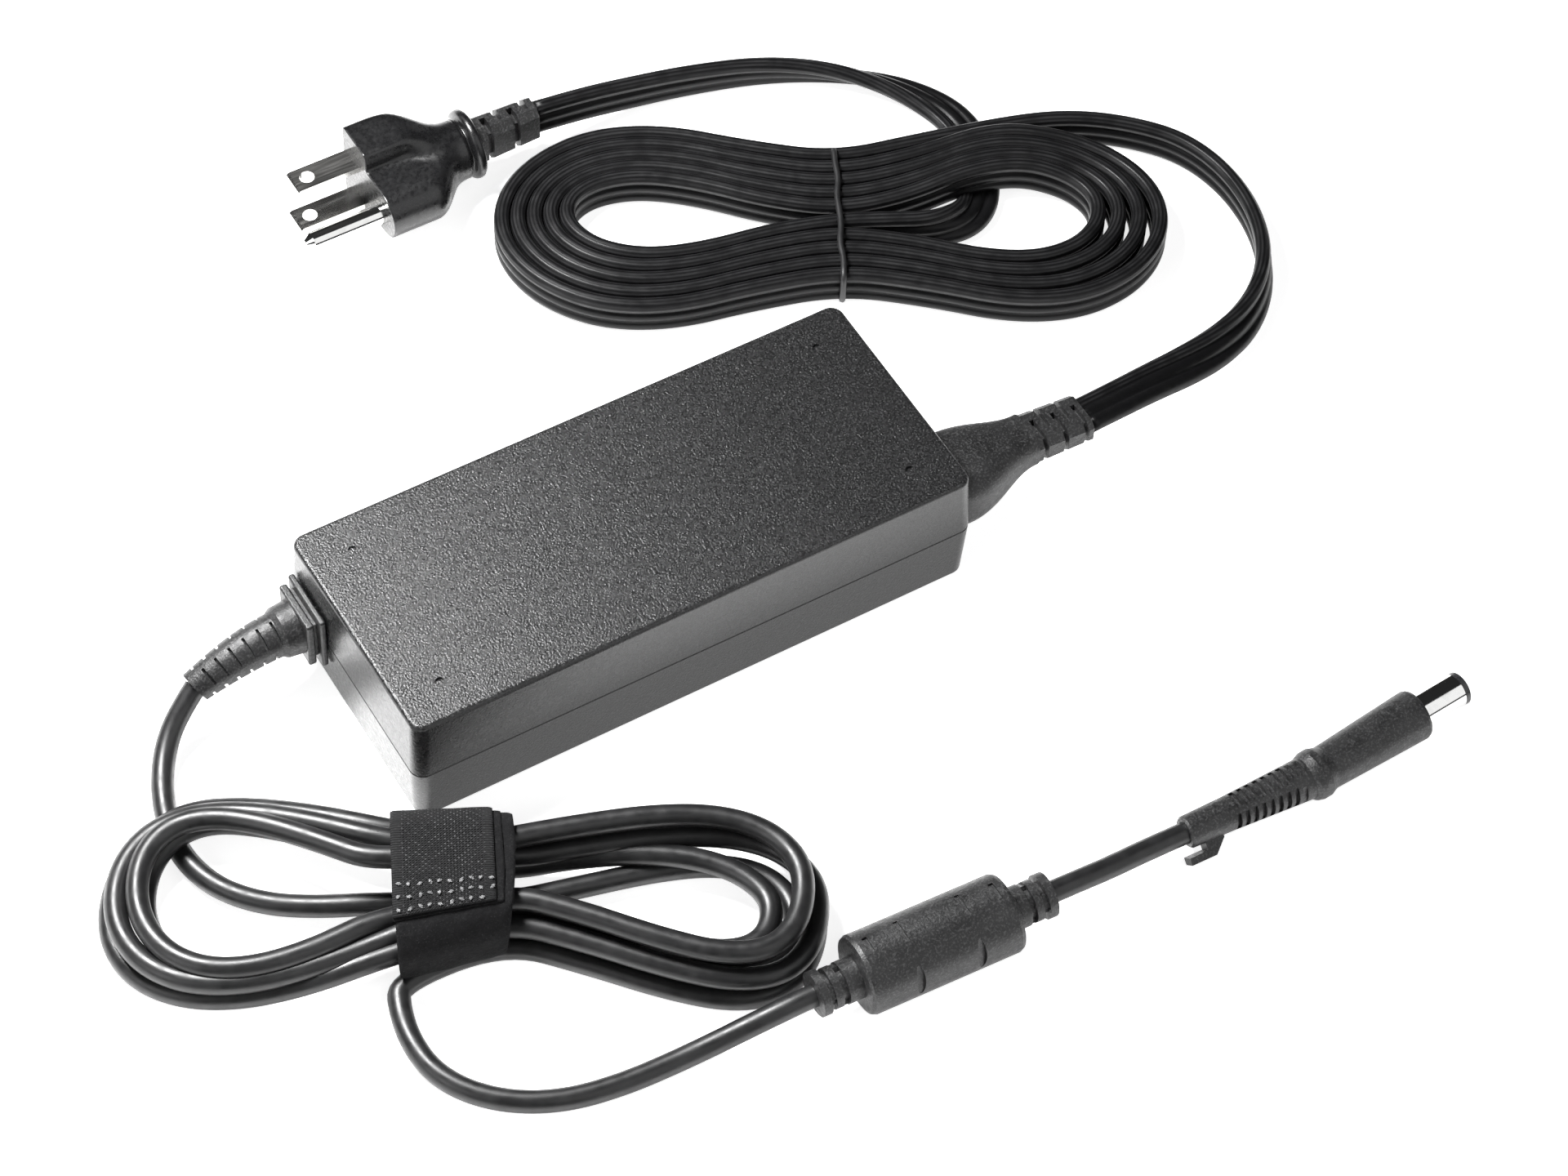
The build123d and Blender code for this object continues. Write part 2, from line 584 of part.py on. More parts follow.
def tunnel(start, end, diameter):
    """Passage from the floor up, for a cord that runs beneath a hank."""
    along = Vector(*end) - Vector(*start)
    wide = diameter + 2 * TUNNEL_GAP
    turn = math.degrees(math.atan2(along.Y, along.X))
    top = max(start[2], end[2]) + diameter / 2 + TUNNEL_GAP
    middle = (Vector(*start) + Vector(*end)) * 0.5
    return Pos(middle.X, middle.Y, 0) * Rot(0, 0, turn) * Box(along.length + 3.0, wide, 2 * top)


def hank_section(plane, along, across, height):
    """Plane across a hank's axis, with its first axis across the hank and its second up."""
    origin = plane.origin + plane.x_dir * along + plane.y_dir * across + plane.z_dir * height
    return Plane(origin=origin, x_dir=plane.y_dir, z_dir=plane.x_dir)


def hank_tie():
    """Thin tie round the waist of the mains hank."""
    wide = 2 * AC_WAIST + 0.1
    inside = RectangleRounded(wide, AC_WIDTH - TIE_THICKNESS, 1.6)
    outside = RectangleRounded(wide + 2 * TIE_THICKNESS, AC_WIDTH + TIE_THICKNESS, 2.4)
    height = TIE_THICKNESS + 0.05 + (AC_WIDTH - TIE_THICKNESS) / 2
    section = hank_section(hank_plane(AC_HANK, AC_TURN), -AC_TIE / 2, 0, height)
    return extrude(section * (outside - inside), AC_TIE)


def lobe(side, start, reach, half_start, swell, drop):
    """Closed outline of one lobe of the DC hank, from the waist out and back."""
    points = []
    for angle in range(0, 181, 12):
        turn = math.radians(angle)
        along = start + (reach - start) * math.sin(turn)
        across = half_start * math.cos(turn) + swell * math.sin(2 * turn) + drop * math.sin(turn)
        points.append((side * along, across))
    return make_face([Spline(*points), Line(points[-1], points[0])])


def dc_hank():
    """Outer shape of the DC hank: two open lobes and the gathered waist inside the strap."""
    left = lobe(-1, 10.0, 69.6, 16.0, 11.0, 0.0) - lobe(-1, -WAIST_SPAN[0], 57.0, 3.4, 12.0, 1.0)
    right = lobe(1, 12.0, 78.0, 13.6, 14.5, -7.6) - lobe(1, WAIST_SPAN[1], 62.0, 1.0, 8.6, -8.0)
    plane = hank_plane(DC_HANK, DC_TURN)
    lobes = extrude(left, DC_HANK_HEIGHT) + extrude(right, DC_HANK_HEIGHT)
    lobes -= block(WAIST_SPAN, (-40, 40), (-1, 30))
    body = plane * lobes
    for start, end in zip(DC_LEAD[2:7], DC_LEAD[3:8]):
        body -= tunnel(start, end, DC_CORD)
    return body + waist(0.0, *WAIST_SPAN)


def waist(growth, low, high):
    """Rounded bar along the DC hank's axis, as thick as the bundle under the strap plus growth."""
    across, height = WAIST_CENTRE
    section = hank_section(hank_plane(DC_HANK, DC_TURN), low, across, height)
    wide, tall = [side + 2 * growth for side in WAIST_SIZE]
    return extrude(section * RectangleRounded(wide, tall, 6.0 + growth), high - low)


def slanted_cut(corners):
    """Prism across the DC hank whose side view is the given (along, height) corners."""
    plane = hank_plane(DC_HANK, DC_TURN)
    side = Plane(origin=plane.origin + plane.y_dir * 60, x_dir=plane.x_dir, z_dir=plane.y_dir * -1)
    return extrude(side * make_face(Polyline(*corners, close=True)), 120)


def strap_loop_band():
    """Soft inner layer of the hook-and-loop strap, right round the bundle."""
    ring = waist(STRAP_THICKNESS, -12, 20) - waist(0.0, -20, 30)
    return ring & slanted_cut([(-7.4, 22), (13.6, 22), (14.2, -2), (-6.4, -2)])


def strap_hook_tab():
    """Woven end of the strap, over the top of the bundle and part of the way down its front."""
    layer = waist(2 * STRAP_THICKNESS, -14, 20) - waist(STRAP_THICKNESS, -20, 30)
    layer &= slanted_cut([(-9.9, 24), (10.6, 24), (11.4, 12.0), (-9.0, 12.0)])
    plane = hank_plane(DC_HANK, DC_TURN)
    back = Plane(origin=plane.origin, x_dir=plane.x_dir, z_dir=plane.z_dir) * \
        block((-40, 40), (WAIST_CENTRE[0] + WAIST_SIZE[0] / 2 - 2.0, 60), (-5, 40))
    return layer - back


# ---------------------------------------------------------------- inside the brick

def standing(x_value, y_value, radius, height):
    return rod((x_value, y_value, BOARD_TOP), (0, 0, 1), height, radius)


def on_board(x_span, y_span, height):
    return block(x_span, y_span, (BOARD_TOP, BOARD_TOP + height))


def elbow(start, x_end, radius):
    """Wire that leaves along X and turns down to the board."""
    path = FilletPolyline(start, (x_end, start[1], start[2]), (x_end, start[1], BOARD_TOP), radius=2.0)
    heading = (1 if x_end > start[0] else -1, 0, 0)
    return sweep(Plane(origin=start, z_dir=heading) * Circle(radius), path=path)


def common_mode_choke():
    centre = Pos(41.0, -13.5, 0)
    core = centre * (rod((0, 0, 9.4), (0, 0, 1), 6.6, 7.6) - rod((0, 0, 9.0), (0, 0, 1), 8.0, 3.6))
    coils = rod((0, 0, 7.9), (0, 0, 1), 9.6, 9.1) - rod((0, 0, 7.0), (0, 0, 1), 12.0, 2.1)
    coils -= block((-10, 10), (-2.4, 2.4), (7, 20))
    return core, centre * coils - core


def transformer():
    core = block((-34, -10), (-20, 8), (9.2, 24.6))
    for low, high in ((-17, -9), (-3, 5)):
        core -= block((-29.5, -14.5), (low, high), (9, 25))
    winding = block((-29.5, -14.5), (-17, 5), (BOARD_TOP, 26.2)) - core
    return core, winding


def inside_parts():
    """Everything on and round the circuit board, by node."""
    choke_core, choke_windings = common_mode_choke()
    transformer_core, transformer_winding = transformer()
    inlet_back = LENGTH / 2 + 0.2 - INLET_SIZE[0]
    gland_back = -LENGTH / 2 + 4.0
    return {
        "circuit_board": [block((-BOARD[0] / 2, BOARD[0] / 2), (-BOARD[1] / 2, BOARD[1] / 2),
                                (BOARD_BOTTOM, BOARD_TOP))],
        "fuse": [rod((56.0, 2.0, BOARD_TOP + 2.6), (0, 1, 0), 20.0, 2.6)],
        "x_capacitor": [on_board((43.0, 51.0), (4.0, 22.0), 13.6)],
        "choke_core": [choke_core],
        "choke_windings": list(choke_windings.solids()),
        "bridge_rectifier": [on_board((29.0, 32.6), (2.0, 22.0), 15.0)],
        "pfc_choke": [on_board((8.0, 26.0), (-23.0, -5.0), 15.0)],
        "bulk_capacitor": [rod((-7.0, 13.2, BOARD_TOP + 8.1), (1, 0, 0), 32.0, 8.0)],
        "primary_heat_sink": [on_board((-7.0, 26.0), (-2.0, -0.5), 18.0)],
        "power_transistors": [on_board((low, low + 10.0), (-0.5, 4.0), 15.0) for low in (0.0, 13.0)],
        "transformer_core": [transformer_core],
        "transformer_winding": [transformer_winding],
        "y_capacitor": [rod((-22.0, 14.0, BOARD_TOP + 4.2), (0, 1, 0), 3.0, 4.0)],
        "optocoupler": [on_board((-34.0, -28.0), (12.0, 18.0), 3.4)],
        "control_chip": [block((0.0, 10.0), (-4.0, 4.0), (BOARD_BOTTOM - 1.7, BOARD_BOTTOM))],
        "secondary_heat_sink": [on_board((-39.5, -38.0), (-22.0, 4.0), 18.0)],
        "output_rectifier": [on_board((-44.0, -39.5), (-16.0, -6.0), 15.0)],
        "output_choke": [standing(-51.0, -12.5, 5.6, 12.0)],
        "output_capacitors": [standing(x_value, y_value, 4.5, 17.0)
                              for x_value, y_value in ((-43.2, 11.6), (-53.2, 11.6), (-53.2, 1.4))],
        "top_heat_spreader": [block((-56.0, 50.0), (-23.0, 23.0),
                                    (HEIGHT - WALL - 1.2, HEIGHT - WALL - 0.4))],
        "top_insulating_sheet": [block((-60.0, 54.0), (-24.5, 24.5), (HEIGHT - WALL - 0.4, HEIGHT - WALL))],
        "bottom_insulating_sheet": [block((-58.0, 58.0), (-18.5, 18.5), (WALL, WALL + 0.4))],
        "bottom_heat_spreader": [block((-49.0, 49.0), (-18.0, 18.0), (WALL + 0.4, WALL + 1.2))],
        "inlet_wires": [elbow((inlet_back, y_value, 12.6), inlet_back - 3.0, 0.8)
                        for y_value in (-8.0, -14.5, -21.0)],
        "output_wires": [elbow((gland_back, y_value, 15.0), gland_back + 4.4, 0.9)
                         for y_value in (18.6, 21.8)],
    }


os.makedirs("parts", exist_ok=True)
save("top_shell", top_shell())
save("bottom_shell", bottom_shell())
save("rating_plate", rating_plate())
save("ac_inlet", ac_inlet())
save("inlet_pins", *inlet_pins())
for node, solids in inside_parts().items():
    save(node, *solids)

save("dc_strain_relief", dc_strain_relief())
save("dc_cord_lead", cord_tube("dc_cord_lead", DC_LEAD, DC_CORD))
save("dc_cord_hank", dc_hank())
save("strap_loop_band", strap_loop_band())
save("strap_hook_tab", strap_hook_tab())
save("dc_cord_tail", cord_tube("dc_cord_tail", DC_TAIL, DC_CORD))
save("ferrite_cover", ferrite_cover())
save("ferrite_core", ferrite_core())
save("dc_cord_ferrite", ferrite_cord())
save("dc_cord_end", cord_tube("dc_cord_end", DC_END, DC_CORD))
save("dc_plug_handle", dc_plug_handle())
save("dc_plug_core", dc_plug_core())
save("dc_barrel", dc_barrel())
save("dc_barrel_tip", dc_barrel_tip())
save("dc_centre_pin", dc_centre_pin())

save("ac_coupler", ac_coupler())
save("coupler_insert", coupler_insert())
save("coupler_contacts", *coupler_contacts())
save("ac_cord_lead", cord_tube("ac_cord_lead", AC_LEAD, AC_TUBE))
save("ac_cord_hank", ac_hank())
save("hank_tie", hank_tie())
save("ac_cord_tail", cord_tube("ac_cord_tail", AC_TAIL, AC_TUBE))
save("ac_plug_body", ac_plug_body())
save("ac_plug_relief", ac_plug_relief())
save("line_blade", blade(BLADE_SPACING / 2))
save("neutral_blade", blade(-BLADE_SPACING / 2))
save("ground_pin", ground_pin())
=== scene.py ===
import json
import math

import bmesh
import bpy
from mathutils import Matrix, Vector


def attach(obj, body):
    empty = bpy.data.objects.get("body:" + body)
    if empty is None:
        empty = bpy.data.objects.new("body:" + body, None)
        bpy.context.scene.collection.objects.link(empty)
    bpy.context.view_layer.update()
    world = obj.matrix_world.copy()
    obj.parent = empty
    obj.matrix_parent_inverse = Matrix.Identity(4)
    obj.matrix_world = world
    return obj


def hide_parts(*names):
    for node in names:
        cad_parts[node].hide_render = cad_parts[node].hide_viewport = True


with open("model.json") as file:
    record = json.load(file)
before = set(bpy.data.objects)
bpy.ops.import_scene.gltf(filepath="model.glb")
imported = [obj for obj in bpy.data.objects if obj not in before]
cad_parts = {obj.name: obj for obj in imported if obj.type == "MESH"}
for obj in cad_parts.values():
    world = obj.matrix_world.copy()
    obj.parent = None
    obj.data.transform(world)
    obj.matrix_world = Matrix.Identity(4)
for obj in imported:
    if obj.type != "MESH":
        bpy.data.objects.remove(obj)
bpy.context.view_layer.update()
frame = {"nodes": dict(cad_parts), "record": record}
nodes = frame["nodes"]

ADAPTER = "adapter"
CORD_SET = "ac_cord_set"

# Cords, in metres
DC_CORD = 0.00475
AC_LOBE = 0.0018            # radius of each of the flat cord's three lobes
AC_LOBE_PITCH = 0.0028
SURFACE_RIB = 0.00007

# Mains hank, a spiral of four and a half turns about its own axis
AC_HANK = (0.0907, 0.0661)
AC_TURN = -28.0
AC_REACH = 0.0775
AC_REACH_STEP = 0.00422     # shorter by this much at each turn
AC_WAIST = 0.0179
AC_PITCH = 0.00380
AC_SWELL = 0.0236
AC_SWELL_RUN = 0.042
AC_HANK_Z = 0.0048
LIFT = 0.0037               # the turns that pass over the cord's end rise by this
LIFT_AT = 0.0345
LIFT_RUN = 0.015

# DC hank: lobes on either side of the strap, each cord passing through it in turn
DC_HANK = (-0.072, -0.0495)
DC_TURN = -26.5
DC_LOBE_START = 0.012
STRAP_RISE = 0.0012
GLAND_CROSSING = -0.050     # where the left lobes pass over the cord from the gland
GLAND_RUN = 0.009

# Strap: the bundle's section under it, in the DC hank's frame
WAIST_WIDE = 0.0318
WAIST_TALL = 0.0152
WAIST_ROUND = 0.006
WAIST_ACROSS = -0.0026
WAIST_UP = 0.00895
STRAP_SLANT = 0.25          # how fast the strap's front side moves back towards its right edge
STRAP_SQUARE = -0.009       # where along the hank's axis it doesn't
TAB_END = 0.612             # share of the way round at which the woven end stops
STITCH_PITCH = 0.00204
STITCH_ROWS = ((0.078, 10), (0.049, 10), (0.0205, 9))   # share short of the end, stitches

TIE_RADIUS = 0.0007
AC_PLUG_Z = 0.0107

# Light: name, place, what it faces, size and power
WORLD_LIGHT = 0.02
LIGHTS = [
    ("key", (-0.14, 0.20, 0.42), (-0.05, 0.0, 0.0), 0.15, 7.0),
    ("left", (-1.25, -0.15, 0.75), (0.0, 0.0, 0.0), 0.8, 5.0),
    ("front", (0.45, -1.15, 0.95), (0.0, 0.0, 0.0), 1.7, 9.2)]

# The mains cord from the coupler to the hank, and from the hank to the plug
AC_LEAD = [
    (0.1030, -0.0145, 0.0149), (0.1126, -0.0134, 0.0137), (0.1235, -0.0114, 0.0112),
    (0.1340, -0.0096, 0.0086), (0.1445, -0.0074, 0.0066), (0.1550, -0.0036, 0.0053),
    (0.1642, 0.0028, 0.0048), (0.1710, 0.0116, 0.0048), (0.1750, 0.0230, 0.0048),
    (0.1758, 0.0358, 0.0048), (0.1726, 0.0480, 0.0048), (0.1648, 0.0576, 0.0048),
    (0.1546, 0.0656, 0.0048), (0.1426, 0.0708, 0.0048)]
AC_TAIL = [
    (0.1006, 0.0596, 0.0048), (0.1084, 0.0548, 0.0046), (0.1160, 0.0536, 0.0041),
    (0.1222, 0.0564, 0.0028), (0.1270, 0.0624, 0.0022), (0.1306, 0.0702, 0.0021),
    (0.1328, 0.0784, 0.0021), (0.1314, 0.0872, 0.0025), (0.1248, 0.0978, 0.0036),
    (0.1140, 0.1078, 0.0045), (0.0996, 0.1160, 0.0048), (0.0826, 0.1212, 0.0050),
    (0.0668, 0.1234, 0.0064), (0.0546, 0.1236, 0.0088), (0.0433, 0.1233, 0.0107)]

# How far the flat cord is turned from standing on edge, in degrees, at each point
AC_LEAD_ROLL = [90, 90, 84, 70, 52, 34, 18, 8, 3, 0, 0, 0, 0, 0]
AC_TAIL_ROLL = [0, 12, 42, 74, 90, 90, 90, 84, 60, 30, 12, 4, 0, 0, 0]

# The DC cord from the gland to the hank, from the hank to the ferrite, and on to the plug
DC_LEAD = [
    (-0.0940, 0.0170, 0.0110), (-0.0988, 0.0152, 0.0076), (-0.1038, 0.0114, 0.0047),
    (-0.1082, 0.0050, 0.0029), (-0.1116, -0.0040, 0.00245), (-0.1128, -0.0138, 0.0024),
    (-0.1102, -0.0236, 0.0025), (-0.1034, -0.0322, 0.0027), (-0.0940, -0.0388, 0.0034),
    (-0.0839, -0.0442, 0.0044)]
DC_TAIL = [
    (-0.0884, -0.0616, 0.0026), (-0.0912, -0.0674, 0.0025), (-0.0926, -0.0748, 0.0024),
    (-0.0920, -0.0830, 0.0024), (-0.0880, -0.0906, 0.0024), (-0.0812, -0.0970, 0.0024),
    (-0.0720, -0.1016, 0.0024), (-0.0606, -0.1038, 0.0024), (-0.0488, -0.1046, 0.0027),
    (-0.0384, -0.1056, 0.0044), (-0.0290, -0.1070, 0.0072), (-0.02006, -0.10776, 0.0086)]
DC_END = [
    (0.03306, -0.11064, 0.0086), (0.0406, -0.1109, 0.0083), (0.0480, -0.1108, 0.0072),
    (0.0570, -0.1104, 0.0062), (0.06672, -0.11059, 0.0057)]

# Each lobe of the DC hank in the order that the cord makes them: side, start (across, up),
# end (across, up), reach, bulge of the first and second half, shift, height at the far end (mm)
DC_LOBES = [
    (1, (-1.5, 2.4), (-6.2, 2.4), 71.0, 10.3, 12.0, -3.0, 2.4),
    (-1, (-4.8, 4.0), (8.5, 6.0), 60.0, 13.0, 12.6, 0.7, 4.0),
    (1, (6.4, 2.6), (-3.8, 6.6), 66.0, 5.4, 10.0, -9.0, 7.1),
    (-1, (-7.8, 9.5), (2.0, 14.0), 61.0, 13.8, 15.1, 4.9, 9.5),
    (1, (7.7, 12.0), (-4.4, 11.5), 72.5, 9.2, 15.8, -6.2, 12.5),
    (-1, (-12.2, 7.4), (9.4, 11.5), 65.5, 11.4, 13.0, 2.0, 7.2),
    (1, (6.0, 7.2), (-8.4, 7.5), 75.5, 8.8, 16.2, -4.8, 7.5),
    (-1, (-15.4, 6.9), (14.3, 8.0), 67.0, 9.0, 12.8, 0.0, 2.4),
    (1, (10.6, 2.4), (-10.2, 2.4), 75.5, 11.3, 16.9, -5.0, 2.4)]


# ---------------------------------------------------------------- camera

def make_camera():
    azimuth, elevation, roll = (math.radians(angle) for angle in (-33.43, 53.285, 3.396))
    back = Vector((math.sin(azimuth) * math.cos(elevation), -math.cos(azimuth) * math.cos(elevation),
                   math.sin(elevation)))
    right = Vector((0, 0, 1)).cross(back).normalized()
    above = back.cross(right)
    turned_right = right * math.cos(roll) + above * math.sin(roll)
    turned_above = above * math.cos(roll) - right * math.sin(roll)
    place = turned_right * 0.032129 + turned_above * 0.002109 + back * 0.91279
    camera = bpy.data.objects.new("camera", bpy.data.cameras.new("camera"))
    bpy.context.scene.collection.objects.link(camera)
    camera.matrix_world = Matrix((turned_right, turned_above, back)).transposed().to_4x4()
    camera.location = place
    camera.data.sensor_width = 36.0
    camera.data.lens = 98.35
    camera.data.clip_start = 0.01
    bpy.context.scene.camera = camera


# ---------------------------------------------------------------- meshes and curves

def add_object(name, data):
    thing = bpy.data.objects.new(name, data)
    bpy.context.scene.collection.objects.link(thing)
    return thing


def mesh_object(name, vertices, faces, smooth=True):
    mesh = bpy.data.meshes.new(name)
    mesh.from_pydata([tuple(vertex) for vertex in vertices], [], faces)
    mesh.update()
    if smooth:
        mesh.shade_smooth()
    return add_object(name, mesh)


def spline_curve(name, points, resolution):
    """One open NURBS spline with these control points."""
    curve = bpy.data.curves.new(name, "CURVE")
    curve.dimensions = "3D"
    spline = curve.splines.new("NURBS")
    spline.points.add(len(points) - 1)
    for target, point in zip(spline.points, points):
        target.co = (*point, 1.0)
    spline.order_u = 3
    spline.use_endpoint_u = True
    spline.resolution_u = resolution
    curve.resolution_u = resolution
    return curve


def along(points, resolution):
    """Points read from the NURBS spline with these control points."""
    curve = spline_curve("line", points, resolution)
    bare = bpy.data.objects.new("line", curve)
    mesh = bpy.data.meshes.new_from_object(bare)
    line = [vertex.co.copy() for vertex in mesh.vertices]
    bpy.data.objects.remove(bare)
    bpy.data.meshes.remove(mesh)
    bpy.data.curves.remove(curve)
    return line


def tube(name, rings, closed=False, capped=True):
    """Mesh through rings of equally many points."""
    count = len(rings[0])
    vertices = [point for ring in rings for point in ring]
    faces = []
    pairs = len(rings) if closed else len(rings) - 1
    for ring in range(pairs):
        low, high = ring * count, ((ring + 1) % len(rings)) * count
        for side in range(count):
            after = (side + 1) % count
            faces.append((low + side, low + after, high + after, high + side))
    if capped and not closed:
        faces.append(tuple(reversed(range(count))))
        faces.append(tuple(range((len(rings) - 1) * count, len(rings) * count)))
    return mesh_object(name, vertices, faces)


def hank_frame(centre, turn):
    axis = Vector((math.cos(math.radians(turn)), math.sin(math.radians(turn)), 0))
    across = Vector((-axis.y, axis.x, 0))
    origin = Vector((centre[0], centre[1], 0))
    return lambda u, v, z: origin + axis * u + across * v + Vector((0, 0, z))


# ---------------------------------------------------------------- mains cord

def ac_spiral_point(degrees):
    """Point of the spiral: 0 degrees is the outermost turn at the tie, on its back side."""
    angle = math.radians(degrees)
    turns = degrees / 360.0
    reach = AC_REACH - AC_REACH_STEP * turns + (0.0002 + 0.0005 * turns) * math.sin(angle)
    waist = AC_WAIST - AC_PITCH * turns
    u = -reach * math.sin(angle)
    v = -0.0006 + 0.0005 * turns * math.sin(angle) ** 2
    v += math.cos(angle) * (waist + AC_SWELL * (1 - math.exp(-(u / AC_SWELL_RUN) ** 2)))
    lift = 0.0
    if v > 0:
        lift = LIFT * math.exp(-((u - LIFT_AT) / LIFT_RUN) ** 2)
    return u, v, AC_HANK_Z + lift


def ac_route():
    """Control points of the whole mains cord with its roll at each, from coupler to plug."""
    place = hank_frame(AC_HANK, AC_TURN)
    points = [Vector(point) for point in AC_LEAD]
    rolls = list(AC_LEAD_ROLL)
    for degrees in range(-15, 1621, 15):
        points.append(place(*ac_spiral_point(degrees)))
        rolls.append(0.0)
    points += [Vector(point) for point in AC_TAIL]
    rolls += AC_TAIL_ROLL
    return points, rolls


def flat_section():
    """Outline of the flat cord, three lobes in a row, and how much each point is on a rib of the
    first one, which also gives the painted highlight along the rib crests."""
    outline, painted_rib_highlights = [], []
    reach = math.degrees(math.acos(AC_LOBE_PITCH / 2 / AC_LOBE))
    arcs = ((1, -180 + reach, 180 - reach, 7.5), (0, reach, 180 - reach, 13),
            (-1, reach, 360 - reach, 15), (0, 180 + reach, 360 - reach, 13))
    for lobe, first, last, step in arcs:
        steps = int(round((last - first) / step))
        for number in range(steps):
            degrees = first + (last - first) * (number + 0.5) / steps
            radius = AC_LOBE
            crest_and_painted_highlight = 0.0
            if lobe == 1:
                crest_and_painted_highlight = 0.5 + 0.5 * math.cos(math.radians(degrees * 12))
                radius -= SURFACE_RIB * (1 - crest_and_painted_highlight)
            outline.append((lobe * AC_LOBE_PITCH + radius * math.cos(math.radians(degrees)),
                            radius * math.sin(math.radians(degrees))))
            # the cube of the rib profile sets the painted highlight along the crests
            painted_rib_highlights.append(crest_and_painted_highlight ** 3)
    return outline, painted_rib_highlights


def make_ac_cord():
    points, rolls = ac_route()
    line = along(points, 10)
    rolled = along([(number, roll, 0) for number, roll in enumerate(rolls)], 10)
    section, painted_rib_highlights = flat_section()
    rings = []
    for number, centre in enumerate(line):
        heading = (line[min(number + 1, len(line) - 1)] - line[max(number - 1, 0)]).normalized()
        level = Vector((0, 0, 1)).cross(heading).normalized()
        upright = heading.cross(level)
        roll = math.radians(rolled[number].y)
        wide = upright * math.cos(roll) + level * math.sin(roll)
        thick = heading.cross(wide)
        rings.append([centre + wide * a + thick * b for a, b in section])
    cord = tube("mains_cord", rings)
    # painted highlight along the rib crests, read by the jacket's material
    values = cord.data.attributes.new("crest_and_painted_highlight", "FLOAT", "POINT")
    values.data.foreach_set("value", painted_rib_highlights * len(rings))
    return cord, line


# ---------------------------------------------------------------- DC cord

def dc_lobe_points(lobe):
    side, start, end, reach, first_bulge, second_bulge, shift, far_height = lobe
    points = []
    start_u = DC_LOBE_START * 1000
    for degrees in range(0, 181, 15):
        angle = math.radians(degrees)
        half = math.sin(angle)
        u = side * (start_u + (reach - start_u) * half)
        v = (start[0] + end[0]) / 2 + (start[0] - end[0]) / 2 * math.cos(angle) + shift * half ** 2
        bulge = first_bulge if degrees < 90 else second_bulge
        if side > 0:
            bulge *= 0.55 + 0.6 * half
        v += side * bulge * math.sin(2 * angle)
        near = start[1] if degrees < 90 else end[1]
        share = half * (2 - half)
        z = near + (far_height - near) * share
        if side < 0 and degrees > 90 and lobe in (DC_LOBES[1], DC_LOBES[7]):
            z += 2.2 * math.exp(-((u - GLAND_CROSSING * 1000) / (GLAND_RUN * 1000)) ** 2)
        z += STRAP_RISE * 1000 * (1 - half)
        points.append((u / 1000, v / 1000, z / 1000))
    return points


def dc_route():
    """Control points of the whole DC cord, from gland to plug."""
    place = hank_frame(DC_HANK, DC_TURN)
    points = [Vector(point) for point in DC_LEAD]
    for lobe in DC_LOBES:
        points += [place(*point) for point in dc_lobe_points(lobe)]
    points += [Vector(point) for point in DC_TAIL]
    points += [Vector(point) for point in DC_END]
    return points


def make_dc_cord():
    curve = spline_curve("output_cord", dc_route(), 8)
    curve.bevel_depth = DC_CORD / 2
    curve.bevel_resolution = 6
    curve.use_fill_caps = True
    return add_object("output_cord", curve)


# ---------------------------------------------------------------- hank tie

def make_tie():
    """Thin elastic cord round the waist of the mains hank, pressed into the edges of the turns."""
    place = hank_frame(AC_HANK, AC_TURN)
    half, centre = AC_WAIST + 0.0012, -0.0006
    points = []
    for number in range(9):
        v = centre - half + 2 * half * number / 8
        points.append(place(0.0004 * math.sin(number * 2.3), v, AC_HANK_Z + 0.0046 + 0.0006))
    side_heights = (AC_HANK_Z + 0.002, 0.0022)
    points += [place(0.0, centre + half + 0.0008, height) for height in side_heights]
    points += [place(0.0, centre + half * side, 0.0006) for side in (0.94, 0.5, 0.0, -0.5, -0.94)]
    points += [place(0.0, centre - half - 0.0008, height) for height in reversed(side_heights)]
    curve = spline_curve("bundle_tie", points, 8)
    curve.splines[0].use_endpoint_u = False
    curve.splines[0].use_cyclic_u = True
    curve.bevel_depth = TIE_RADIUS
    curve.bevel_resolution = 4
    return add_object("bundle_tie", curve)


# ---------------------------------------------------------------- strap

def strap_outline(growth):
    """Points round the bundle's section, from the middle of its base up its back, over its top and
    down its front, each with the outward normal and the distance run."""
    half_wide, half_tall = WAIST_WIDE / 2 + growth, WAIST_TALL / 2 + growth
    radius = WAIST_ROUND + growth
    outline = []
    flat_wide, flat_tall = half_wide - radius, half_tall - radius
    corners = ((flat_wide, -flat_tall, -90), (flat_wide, flat_tall, 0),
               (-flat_wide, flat_tall, 90), (-flat_wide, -flat_tall, 180))
    for across, up, start in corners:
        for step in range(25):
            angle = math.radians(start + 90 * step / 24)
            outline.append((across + radius * math.cos(angle), up + radius * math.sin(angle)))
    outline = [(0.0, -half_tall)] + outline + [(0.0, -half_tall)]
    even = []
    run = 0.0
    for first, second in zip(outline, outline[1:]):
        gap = math.dist(first, second)
        pieces = max(1, int(gap / 0.0006))
        for piece in range(pieces):
            share = piece / pieces
            point = [a + (b - a) * share for a, b in zip(first, second)]
            normal = ((second[1] - first[1]) / gap, -(second[0] - first[0]) / gap)
            even.append((point, normal, run + gap * share))
        run += gap
    return even, run


def strap_place(u, v, z):
    """Point on the strap, whose front side slants back towards its right edge."""
    forward = min(max(-2 * v / WAIST_WIDE, 0.0), 1.0)
    v += STRAP_SLANT * max(u - STRAP_SQUARE, 0.0) * forward
    return hank_frame(DC_HANK, DC_TURN)(u, WAIST_ACROSS + v, max(WAIST_UP + z, 0.0002))


